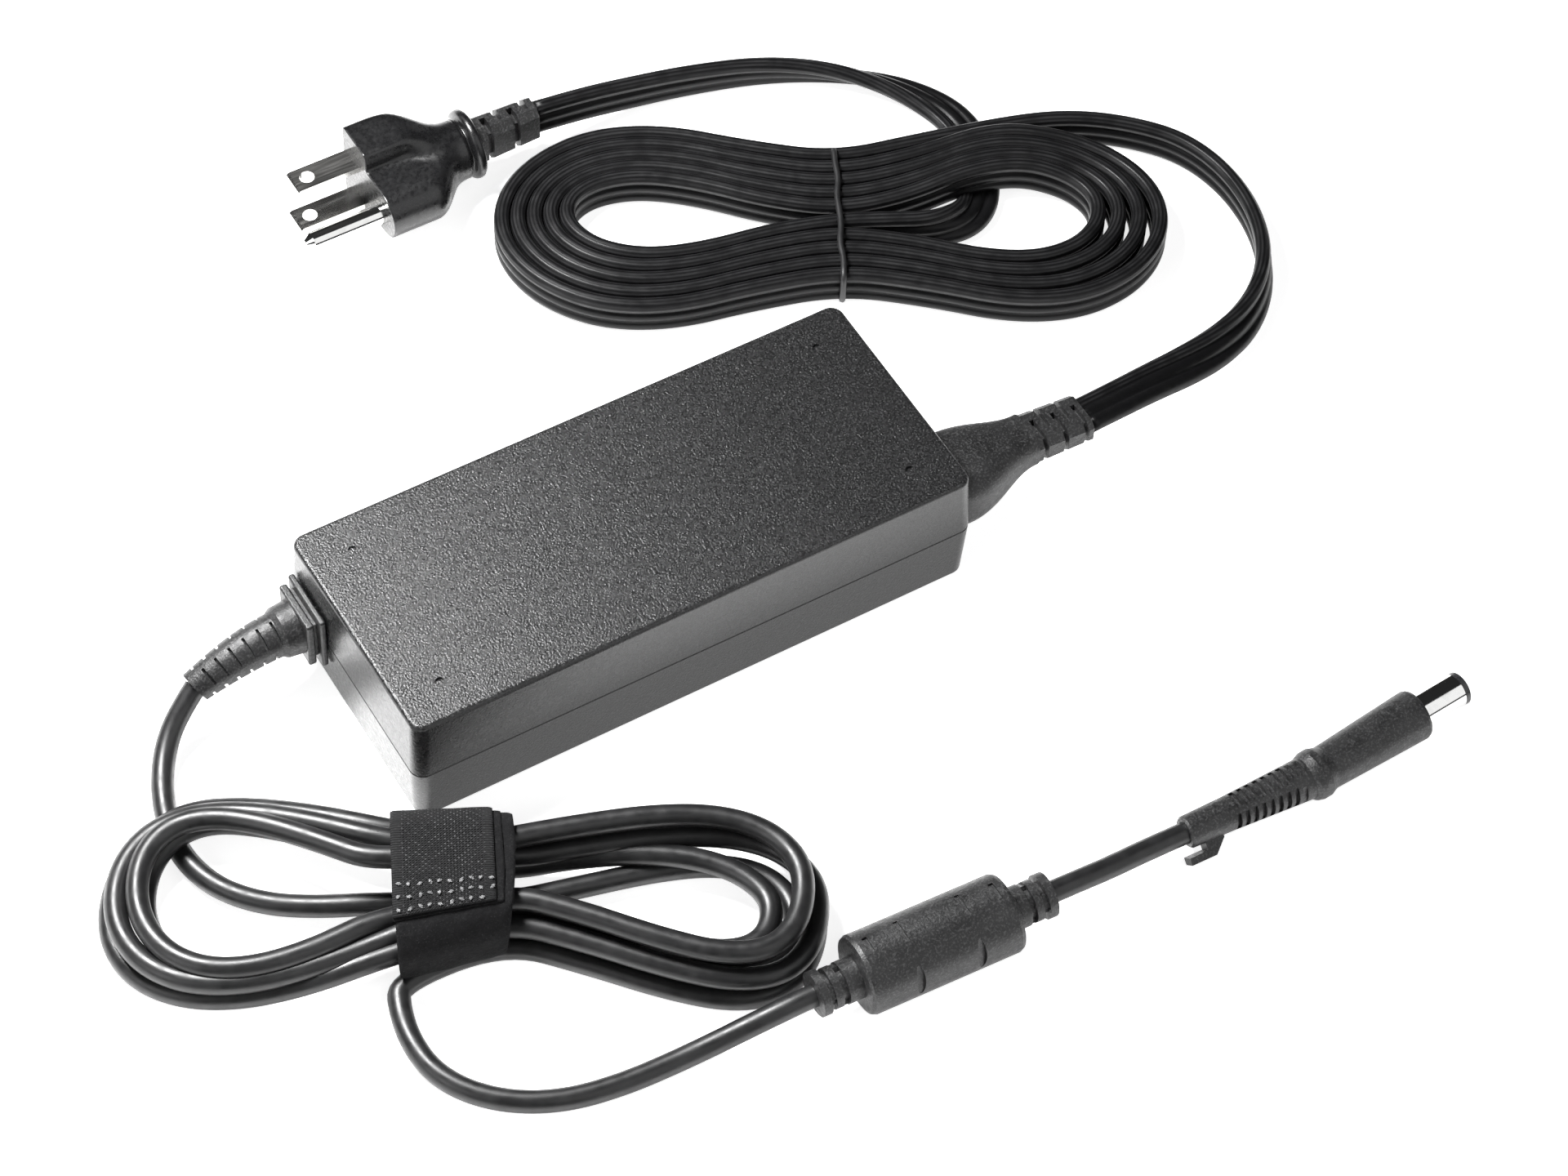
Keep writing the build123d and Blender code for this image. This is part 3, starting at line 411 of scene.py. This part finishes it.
def strap_layer(name, growth, thickness, start, end, left, right, waviness):
    """One layer of the strap: start and end are shares of the way round, left and right its edges there."""
    outline, total = strap_outline(growth)
    kept = [spot for spot in outline if start <= spot[2] / total <= end]
    across_count = 44
    vertices, faces, uvs = [], [], []
    for face_side in (0, 1):
        for (v, z), (normal_v, normal_z), run in kept:
            share = run / total
            low, high = left(share), right(share)
            for number in range(across_count + 1):
                u = low + (high - low) * number / across_count
                wave = waviness * (math.sin(u * 420 + run * 260) * math.sin(run * 510 + 1.3 * u * 300))
                edge = min(number, across_count - number)
                rounding = 0.35 * thickness * max(0.0, 1 - edge / 1.5) if face_side else 0.0
                lift = thickness * face_side + wave - rounding
                vertices.append(strap_place(u, v + normal_v * lift, z + normal_z * lift))
                uvs.append((u, run))
    rows, columns = len(kept), across_count + 1

    def index(face_side, row, column):
        return (face_side * rows + row) * columns + column

    for row in range(rows - 1):
        for column in range(across_count):
            outer = [index(1, row, column), index(1, row, column + 1), index(1, row + 1, column + 1),
                     index(1, row + 1, column)]
            faces.append(tuple(outer))
            faces.append(tuple(corner - rows * columns for corner in reversed(outer)))
        for column in (0, across_count):
            side = [index(0, row, column), index(1, row, column), index(1, row + 1, column),
                    index(0, row + 1, column)]
            faces.append(tuple(side if column == 0 else reversed(side)))
    for row in (0, rows - 1):
        for column in range(across_count):
            side = [index(0, row, column), index(0, row, column + 1), index(1, row, column + 1),
                    index(1, row, column)]
            faces.append(tuple(side if row == 0 else reversed(side)))
    thing = mesh_object(name, vertices, faces)
    layer = thing.data.uv_layers.new(name="strap")
    for loop in thing.data.loops:
        layer.data[loop.index].uv = uvs[loop.vertex_index]
    return thing


def edge_line(*stops):
    """Edge of a strap layer: distance along the hank's axis at each share of the way round, in mm."""
    def at(share):
        for (share_a, u_a), (share_b, u_b) in zip(stops, stops[1:]):
            if share <= share_b:
                part_way = max(0.0, (share - share_a) / (share_b - share_a))
                return (u_a + (u_b - u_a) * part_way) / 1000
        return stops[-1][1] / 1000
    return at


def strap_spot(u, share, growth):
    """Place and outward direction on the strap."""
    outline, total = strap_outline(growth)
    (v, z), (normal_v, normal_z), run = min(outline, key=lambda spot: abs(spot[2] / total - share))
    here = strap_place(u, v, z)
    return here, strap_place(u, v + 0.001 * normal_v, z + 0.001 * normal_z) - here


def make_stitches():
    """Three rows of pale bar stitches across the woven end."""
    mesh = bmesh.new()
    for row, (short, count) in enumerate(STITCH_ROWS):
        for number in range(count):
            here, outward = strap_spot(-0.0084 + STITCH_PITCH * number, TAB_END - short, 0.0025)
            base = here + outward.normalized() * 0.0001
            for strand in range(4):
                twist = strand * 0.8 + row + number * 1.7
                offset = Vector((math.cos(twist) * 0.00022, math.sin(twist) * 0.00022, 0.00008 * strand))
                made = bmesh.ops.create_icosphere(mesh, subdivisions=2, radius=0.0004)
                turn = Matrix.Rotation(twist, 4, "Z") @ Matrix.Diagonal((1.1, 0.5, 0.36, 1))
                slant = outward.to_track_quat("Z", "Y").to_matrix().to_4x4()
                bmesh.ops.transform(mesh, matrix=Matrix.Translation(base + offset) @ slant @ turn,
                                    verts=made["verts"])
    data = bpy.data.meshes.new("strap_stitches")
    mesh.to_mesh(data)
    mesh.free()
    data.shade_smooth()
    return add_object("strap_stitches", data)


def make_strap():
    band_right = edge_line((0.0, 13.0), (0.42, 15.0), (0.60, 14.2), (0.80, 12.4), (1.0, 13.6))
    band_left = edge_line((0.0, -7.0), (0.5, -9.6), (0.78, -8.8), (0.88, -6.0), (1.0, -3.0))
    band = strap_layer("strap_loop_fabric", 0.0002, 0.0010, 0.0, 1.0, band_left, band_right, 0.00012)
    under = strap_layer("strap_under_layer", 0.0012, 0.0005, 0.24, 0.62, edge_line((0, -9.9), (1, -9.7)),
                        edge_line((0.0, 11.4), (0.5, 12.6), (1.0, 11.0)), 0.00005)
    tab = strap_layer("strap_woven_end", 0.0017, 0.0008, 0.22, TAB_END, edge_line((0, -10.2), (1, -9.4)),
                      edge_line((0, 10.4), (1, 11.0)), 0.00006)
    return band, under, tab


# ---------------------------------------------------------------- mains plug moulding

def smooth_step(value):
    value = min(max(value, 0.0), 1.0)
    return value * value * (3 - 2 * value)


def rounded_box_distance(y, z, centre_y, half_y, half_z, radius):
    away_y = abs(y - centre_y) - half_y + radius
    away_z = abs(z) - half_z + radius
    return math.hypot(max(away_y, 0), max(away_z, 0)) + min(max(away_y, away_z), 0) - radius


def plug_distance(x, y, z):
    """Signed distance, in mm, to the plug's outline at x: blade block and ground lobe, both drawn in
    to the neck."""
    drawn = smooth_step((x - 9.5) / 13.5)
    lobe_drawn = smooth_step((x - 11.5) / 12.0)
    block_part = rounded_box_distance(y, z, 127.6 - 4.2 * drawn, 5.6 + 0.8 * drawn, 10.65 - 4.25 * drawn,
                                      1.2 + 5.0 * smooth_step((x - 5.0) / 17.0))
    low = 108.1 + 8.9 * lobe_drawn
    lobe_part = rounded_box_distance(y, z, (low + 128.0) / 2, (128.0 - low) / 2, 6.0 + 0.3 * lobe_drawn, 5.9)
    blend = 1.2 + 2.4 * smooth_step((x - 2.0) / 14.0)
    mix = max(blend - abs(block_part - lobe_part), 0.0) / blend
    return min(block_part, lobe_part) - mix * mix * blend / 4


def make_plug_moulding():
    stations = [0.0, 0.0, 0.12, 0.35] + [0.8 * number for number in range(1, 31)]
    insets = [0.30, 0.12, 0.03, 0.0] + [0.0] * 30
    rings = []
    for x, inset in zip(stations, insets):
        centre_y = 122.6 + 0.9 * smooth_step((x - 8) / 14)
        ring = []
        for step in range(128):
            angle = 2 * math.pi * step / 128
            low_r, high_r = 0.0, 20.0
            for _ in range(26):
                middle = (low_r + high_r) / 2
                if plug_distance(x, centre_y + middle * math.cos(angle), middle * math.sin(angle)) < -inset:
                    low_r = middle
                else:
                    high_r = middle
            ring.append(Vector((x / 1000, (centre_y + low_r * math.cos(angle)) / 1000,
                                AC_PLUG_Z + low_r * math.sin(angle) / 1000)))
        rings.append(ring)
    collar = ((24.4, 6.4), (24.9, 6.6), (25.1, 7.2), (25.3, 7.8), (25.8, 8.2), (26.4, 8.3), (27.0, 8.2),
              (27.4, 7.8), (27.5, 7.2), (27.5, 5.5), (27.5, 2.0))
    for x, radius in collar:
        rings.append([Vector((x / 1000, (123.4 + radius * math.cos(2 * math.pi * step / 128)) / 1000,
                              AC_PLUG_Z + radius * math.sin(2 * math.pi * step / 128) / 1000))
                      for step in range(128)])
    return tube("mains_plug_moulding", rings)


# ---------------------------------------------------------------- stage

def make_stage(floor_material):
    floor = mesh_object("floor", [(-6, -6, 0), (6, -6, 0), (6, 6, 0), (-6, 6, 0)], [(0, 1, 2, 3)])
    floor.data.materials.append(floor_material)
    world = bpy.data.worlds.new("world")
    bpy.context.scene.world = world
    world.use_nodes = True
    world.node_tree.nodes["Background"].inputs["Color"].default_value = (1, 1, 1, 1)
    world.node_tree.nodes["Background"].inputs["Strength"].default_value = WORLD_LIGHT
    for name, place, aim, size, power in LIGHTS:
        light = bpy.data.lights.new(name, "AREA")
        light.size = size
        light.energy = power
        lamp = add_object(name, light)
        lamp.location = place
        lamp.rotation_euler = (Vector(aim) - Vector(place)).to_track_quat("-Z", "Y").to_euler()
    bpy.context.scene.view_settings.view_transform = "Standard"


# ---------------------------------------------------------------- materials

class Recipe:
    """Node tree of one material, built up from small steps."""

    def __init__(self, name, colour, roughness, metallic=0.0):
        self.material = bpy.data.materials.new(name)
        self.material.use_nodes = True
        self.tree = self.material.node_tree
        self.shader = self.tree.nodes["Principled BSDF"]
        self.colour = (*colour, 1)
        self.shader.inputs["Base Color"].default_value = self.colour
        self.shader.inputs["Roughness"].default_value = roughness
        self.shader.inputs["Metallic"].default_value = metallic
        self.place = self.tree.nodes.new("ShaderNodeTexCoord").outputs["Object"]
        self.normal = None

    def node(self, kind, values=None, **settings):
        made = self.tree.nodes.new(kind)
        for key, value in settings.items():
            setattr(made, key, value)
        for key, value in (values or {}).items():
            if isinstance(value, bpy.types.NodeSocket):
                self.tree.links.new(value, made.inputs[key])
            else:
                made.inputs[key].default_value = value
        return made

    def use_uv(self, name):
        self.place = self.node("ShaderNodeUVMap", uv_map=name).outputs["UV"]

    def noise(self, scale, detail=2.0, roughness=0.5, stretch=None):
        place = self.place
        if stretch:
            place = self.node("ShaderNodeMapping", {"Vector": self.place, "Scale": stretch}).outputs["Vector"]
        return self.node("ShaderNodeTexNoise", {"Vector": place, "Scale": scale, "Detail": detail,
                                                "Roughness": roughness}).outputs["Fac"]

    def ramp(self, factor, low, high, from_value=0.0, to_value=1.0):
        return self.node("ShaderNodeMapRange", {"Value": factor, "From Min": low, "From Max": high,
                                                "To Min": from_value, "To Max": to_value}).outputs["Result"]

    def maths(self, operation, first, second):
        return self.node("ShaderNodeMath", {0: first, 1: second}, operation=operation).outputs["Value"]

    def tint(self, factor, colour):
        """Mixes a colour over what is there by a factor."""
        mix = self.node("ShaderNodeMix", data_type="RGBA")
        self.tree.links.new(factor, mix.inputs["Factor"])
        base = self.shader.inputs["Base Color"]
        if base.is_linked:
            self.tree.links.new(base.links[0].from_socket, mix.inputs["A"])
        else:
            mix.inputs["A"].default_value = self.colour
        mix.inputs["B"].default_value = (*colour, 1)
        self.tree.links.new(mix.outputs["Result"], base)

    def shine(self, factor, low, high):
        """Varies the roughness with a factor."""
        self.tree.links.new(self.ramp(factor, 0.3, 0.7, low, high), self.shader.inputs["Roughness"])

    def bump(self, height, distance, strength=1.0):
        values = {"Height": height, "Distance": distance, "Strength": strength}
        if self.normal:
            values["Normal"] = self.normal
        self.normal = self.node("ShaderNodeBump", values).outputs["Normal"]
        self.tree.links.new(self.normal, self.shader.inputs["Normal"])

    def set(self, **values):
        for key, value in values.items():
            self.shader.inputs[key.replace("_", " ")].default_value = value
        return self.material


def case_material():
    """Spark-eroded texture on the top, finer on the sides, with painted glints on its grains, strongest on
    the top.
    """
    recipe = Recipe("case", (0.007, 0.007, 0.0072), 0.4)
    facing = recipe.node("ShaderNodeNewGeometry").outputs["Normal"]
    upward = recipe.ramp(recipe.node("ShaderNodeSeparateXYZ", {"Vector": facing}).outputs["Z"], 0.55, 0.9)
    coarse = recipe.noise(2200.0, 2.0, 0.6)
    # painted glints: pale flecks on the coarse grains, full strength on the top and a quarter of it on the
    # sides
    painted_glints = recipe.maths("MULTIPLY", recipe.ramp(coarse, 0.50, 0.66), recipe.ramp(upward, 0, 1, 0.25, 1.0))
    recipe.tint(painted_glints, (0.036, 0.036, 0.037))
    pits = recipe.ramp(recipe.noise(2900.0, 1.0), 0.40, 0.28)
    recipe.tint(recipe.maths("MULTIPLY", pits, upward), (0.004, 0.004, 0.0042))
    recipe.tint(recipe.ramp(recipe.noise(60.0, 3.0), 0.4, 0.75, 0.0, 0.12), (0.02, 0.02, 0.021))
    recipe.shine(recipe.noise(900.0), 0.24, 0.31)
    recipe.bump(recipe.maths("MULTIPLY", coarse, recipe.ramp(upward, 0, 1, 0.3, 1.0)), 0.00017, 1.0)
    return recipe.set(Specular_IOR_Level=0.5)


def grained(name, colour, speck_colour, roughness, scale, depth, amount=0.8):
    """Moulded plastic or rubber with a matt grain."""
    recipe = Recipe(name, colour, roughness)
    grain = recipe.noise(scale, 3.0, 0.6)
    recipe.tint(recipe.ramp(grain, 0.50, 0.68, 0.0, amount), speck_colour)
    recipe.tint(recipe.ramp(recipe.noise(110.0, 2.0), 0.35, 0.8, 0.0, 0.25), speck_colour)
    recipe.shine(recipe.noise(scale * 0.4), roughness - 0.08, roughness + 0.08)
    recipe.bump(grain, depth)
    return recipe.material


def jacket(name, colour, roughness):
    """Extruded cord jacket: almost smooth, with faint mottling and rub marks."""
    recipe = Recipe(name, colour, roughness)
    recipe.tint(recipe.ramp(recipe.noise(260.0, 3.0), 0.45, 0.8, 0.0, 0.35), [3 * part for part in colour])
    recipe.shine(recipe.noise(420.0, 3.0), roughness - 0.05, roughness + 0.10)
    recipe.bump(recipe.noise(1600.0, 2.0), 0.00001, 0.5)
    return recipe.material


def ribbed_jacket():
    """Jacket of the flat cord, with a painted highlight along the crests of its fine ribs."""
    recipe = Recipe("ac_jacket", (0.0045, 0.0045, 0.0048), 0.34)
    crest_and_painted_highlight = recipe.node("ShaderNodeAttribute", attribute_name="crest_and_painted_highlight").outputs["Fac"]
    patches = recipe.ramp(recipe.noise(220.0, 2.0), 0.35, 0.65, 0.35, 1.0)
    # painted highlight: paler colour along the rib crests, in patches
    recipe.tint(recipe.maths("MULTIPLY", crest_and_painted_highlight, patches), (0.028, 0.028, 0.029))
    recipe.shine(recipe.noise(500.0, 3.0), 0.28, 0.42)
    recipe.bump(recipe.noise(1500.0, 2.0), 0.00001, 0.5)
    return recipe.set(Specular_IOR_Level=0.14)


def plated(name, colour, roughness):
    """Plated metal with faint rolling marks along X."""
    recipe = Recipe(name, colour, roughness, 1.0)
    marks = recipe.noise(900.0, 3.0, 0.6, stretch=(0.06, 1.0, 1.0))
    recipe.shine(marks, roughness * 0.8, roughness * 1.4)
    recipe.tint(recipe.ramp(recipe.noise(500.0), 0.5, 0.8, 0.0, 0.35), [0.72 * part for part in colour])
    recipe.bump(marks, 0.000002, 0.5)
    return recipe.material


def woven():
    """Ribbed weave with tiny pale stitches in offset columns, plainer along its bound edges."""
    recipe = Recipe("woven_fabric", (0.010, 0.010, 0.0105), 0.85)
    recipe.use_uv("strap")
    parts = recipe.node("ShaderNodeSeparateXYZ", {"Vector": recipe.place})
    across, down = parts.outputs["X"], parts.outputs["Y"]
    warp = recipe.maths("SINE", recipe.maths("MULTIPLY", across, 2 * math.pi / 0.00062), 0.0)
    weft = recipe.maths("SINE", recipe.maths("MULTIPLY", down, 2 * math.pi / 0.00056), 0.0)
    cross = recipe.maths("MULTIPLY", warp, weft)
    distance = recipe.maths("ABSOLUTE", recipe.maths("SUBTRACT", across, 0.0005), 0.0)
    middle = recipe.ramp(distance, 0.0086, 0.0078)
    threads = recipe.maths("ADD", recipe.maths("MULTIPLY", cross, middle),
                           recipe.maths("MULTIPLY", weft, 0.6))
    recipe.tint(recipe.ramp(threads, -0.2, 1.3, 0.0, 0.8), (0.026, 0.026, 0.027))
    column = recipe.maths("SINE", recipe.maths("MULTIPLY", across, 2 * math.pi / 0.0013), 0.0)
    row = recipe.maths("SINE", recipe.maths("MULTIPLY", down, 2 * math.pi / 0.00115), 0.0)
    dots = recipe.ramp(recipe.maths("MULTIPLY", column, row), 0.45, 0.75)
    flecks = recipe.maths("MULTIPLY", dots, recipe.ramp(recipe.noise(800.0, 2.0, 0.6), 0.42, 0.58))
    recipe.tint(recipe.maths("MULTIPLY", flecks, recipe.ramp(middle, 0, 1, 0.15, 1.0)), (0.085, 0.085, 0.087))
    recipe.tint(recipe.ramp(recipe.noise(500.0, 3.0), 0.5, 0.8, 0.0, 0.7), (0.005, 0.005, 0.0055))
    recipe.bump(threads, 0.00016, 1.0)
    recipe.bump(recipe.noise(3000.0, 3.0), 0.00005, 0.6)
    return recipe.set(Specular_IOR_Level=0.25)


def napped():
    """Loop fabric: tangled matt pile."""
    recipe = Recipe("loop_fabric", (0.006, 0.006, 0.0065), 0.95)
    tangle = recipe.noise(900.0, 5.0, 0.72)
    recipe.tint(recipe.ramp(tangle, 0.50, 0.72, 0.0, 0.75), (0.015, 0.015, 0.0155))
    recipe.tint(recipe.ramp(recipe.noise(2600.0, 3.0, 0.7), 0.60, 0.72, 0.0, 0.6), (0.045, 0.045, 0.046))
    recipe.bump(tangle, 0.0004, 0.9)
    return recipe.set(Specular_IOR_Level=0.2)


def speckled(name, colour, second_colour, roughness, scale, depth, metallic=0.0):
    """Surface of a part inside the case."""
    recipe = Recipe(name, colour, roughness, metallic)
    pattern = recipe.noise(scale, 3.0)
    recipe.tint(recipe.ramp(pattern, 0.4, 0.8), second_colour)
    recipe.shine(pattern, roughness - 0.06, roughness + 0.08)
    recipe.bump(pattern, depth)
    return recipe.material


def wound(name, colour, second_colour):
    """Close turns of enamelled wire."""
    recipe = Recipe(name, colour, 0.3, 0.8)
    wave = recipe.node("ShaderNodeTexWave", {"Vector": recipe.place, "Scale": 420.0, "Distortion": 0.4},
                       bands_direction="X").outputs["Fac"]
    recipe.tint(wave, second_colour)
    recipe.bump(wave, 0.00025)
    return recipe.material


def make_materials():
    return {
        "case": case_material(),
        "plate": speckled("plate", (0.05, 0.05, 0.052), (0.065, 0.065, 0.067), 0.35, 900.0, 0.00001),
        "socket": grained("socket", (0.02, 0.02, 0.022), (0.05, 0.05, 0.052), 0.45, 1800.0, 0.00003),
        "nickel": plated("nickel", (0.78, 0.77, 0.745), 0.20),
        "contact_brass": plated("contact_brass", (0.75, 0.58, 0.30), 0.28),
        "moulding": grained("moulding", (0.005, 0.005, 0.0052), (0.060, 0.060, 0.061), 0.44, 2200.0, 0.00010),
        "plug_moulding": grained("plug_moulding", (0.004, 0.004, 0.0043), (0.018, 0.018, 0.019), 0.30, 2400.0,
                                 0.00002, 0.35),
        "dc_jacket": jacket("dc_jacket", (0.010, 0.010, 0.0104), 0.36),
        "ac_jacket": ribbed_jacket(),
        "tie": jacket("tie", (0.008, 0.008, 0.0085), 0.5),
        "loop_fabric": napped(),
        "woven_fabric": woven(),
        "plug_insulator": speckled("plug_insulator", (0.02, 0.02, 0.022), (0.03, 0.03, 0.032),
                                   0.25, 900.0, 0.000005),
        "ferrite": speckled("ferrite", (0.08, 0.08, 0.085), (0.12, 0.12, 0.125), 0.6, 1200.0, 0.00004),
        "board": speckled("board", (0.03, 0.12, 0.05), (0.06, 0.17, 0.08), 0.4, 260.0, 0.00002),
        "copper": wound("copper", (0.72, 0.36, 0.18), (0.40, 0.16, 0.07)),
        "aluminium_sheet": plated("aluminium_sheet", (0.72, 0.72, 0.74), 0.4),
        "capacitor_can": speckled("capacitor_can", (0.05, 0.06, 0.12), (0.08, 0.09, 0.16),
                                  0.35, 500.0, 0.00001),
        "component_case": speckled("component_case", (0.03, 0.03, 0.03), (0.06, 0.06, 0.06),
                                   0.55, 1500.0, 0.00004),
        "yellow_box": speckled("yellow_box", (0.75, 0.55, 0.10), (0.62, 0.44, 0.08), 0.35, 500.0, 0.00002),
        "disc_ceramic": speckled("disc_ceramic", (0.20, 0.35, 0.60), (0.16, 0.28, 0.50), 0.3, 700.0, 0.00003),
        "insulating_film": speckled("insulating_film", (0.85, 0.85, 0.82), (0.78, 0.78, 0.75),
                                    0.4, 300.0, 0.00001),
        "wire": jacket("wire", (0.05, 0.05, 0.055), 0.4),
    }


def dress(thing, material):
    thing.data.materials.clear()
    thing.data.materials.append(material)


def soften(thing, width):
    """Narrow rounding along a moulding's sharp edges."""
    bevel = thing.modifiers.new("rounding", "BEVEL")
    bevel.width = width
    bevel.segments = 2
    bevel.limit_method = "ANGLE"
    bevel.angle_limit = math.radians(35)
    bevel.harden_normals = False


def add_piece(thing, material, slot, body, *replaced):
    dress(thing, material)
    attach(thing, body)
    if replaced:
        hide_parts(*replaced)


make_camera()
ac_cord, ac_line = make_ac_cord()
dc_cord = make_dc_cord()
materials = make_materials()
slots = {part["node"]: part["material_slot"] for part in frame["record"]["subparts"]}
for name, node in nodes.items():
    dress(node, materials[slots[name]])
dress(nodes["ground_pin"], plated("bright_pin", (0.86, 0.86, 0.85), 0.10))
dress(nodes["dc_barrel"], plated("bright_barrel", (0.86, 0.86, 0.85), 0.10))
for name in ("dc_strain_relief", "ferrite_cover", "dc_plug_handle", "ac_coupler", "ac_plug_relief"):
    soften(nodes[name], 0.00018)

add_piece(ac_cord, materials["ac_jacket"], "ac_jacket", CORD_SET, "ac_cord_lead", "ac_cord_hank",
          "ac_cord_tail")
add_piece(dc_cord, materials["dc_jacket"], "dc_jacket", ADAPTER, "dc_cord_lead", "dc_cord_hank",
          "dc_cord_tail", "dc_cord_ferrite", "dc_cord_end")
tie = make_tie()
add_piece(tie, materials["tie"], "tie", CORD_SET, "hank_tie")
plug = make_plug_moulding()
add_piece(plug, materials["plug_moulding"], "plug_moulding", CORD_SET, "ac_plug_body")
band, under, tab = make_strap()
add_piece(band, materials["loop_fabric"], "loop_fabric", ADAPTER, "strap_loop_band")
add_piece(under, materials["loop_fabric"], "loop_fabric", ADAPTER)
add_piece(tab, materials["woven_fabric"], "woven_fabric", ADAPTER, "strap_hook_tab")
stitches = make_stitches()
add_piece(stitches, grained("stitch_thread", (0.12, 0.12, 0.123), (0.34, 0.34, 0.345), 0.6, 2500.0, 0.0001),
          "woven_fabric", ADAPTER)

floor_paint = speckled("floor", (0.93, 0.93, 0.93), (0.95, 0.95, 0.95), 0.8, 40.0, 0.000001)
floor_shader = floor_paint.node_tree.nodes["Principled BSDF"]
floor_shader.inputs["Emission Color"].default_value = (1, 1, 1, 1)
floor_shader.inputs["Emission Strength"].default_value = 0.8
make_stage(floor_paint)
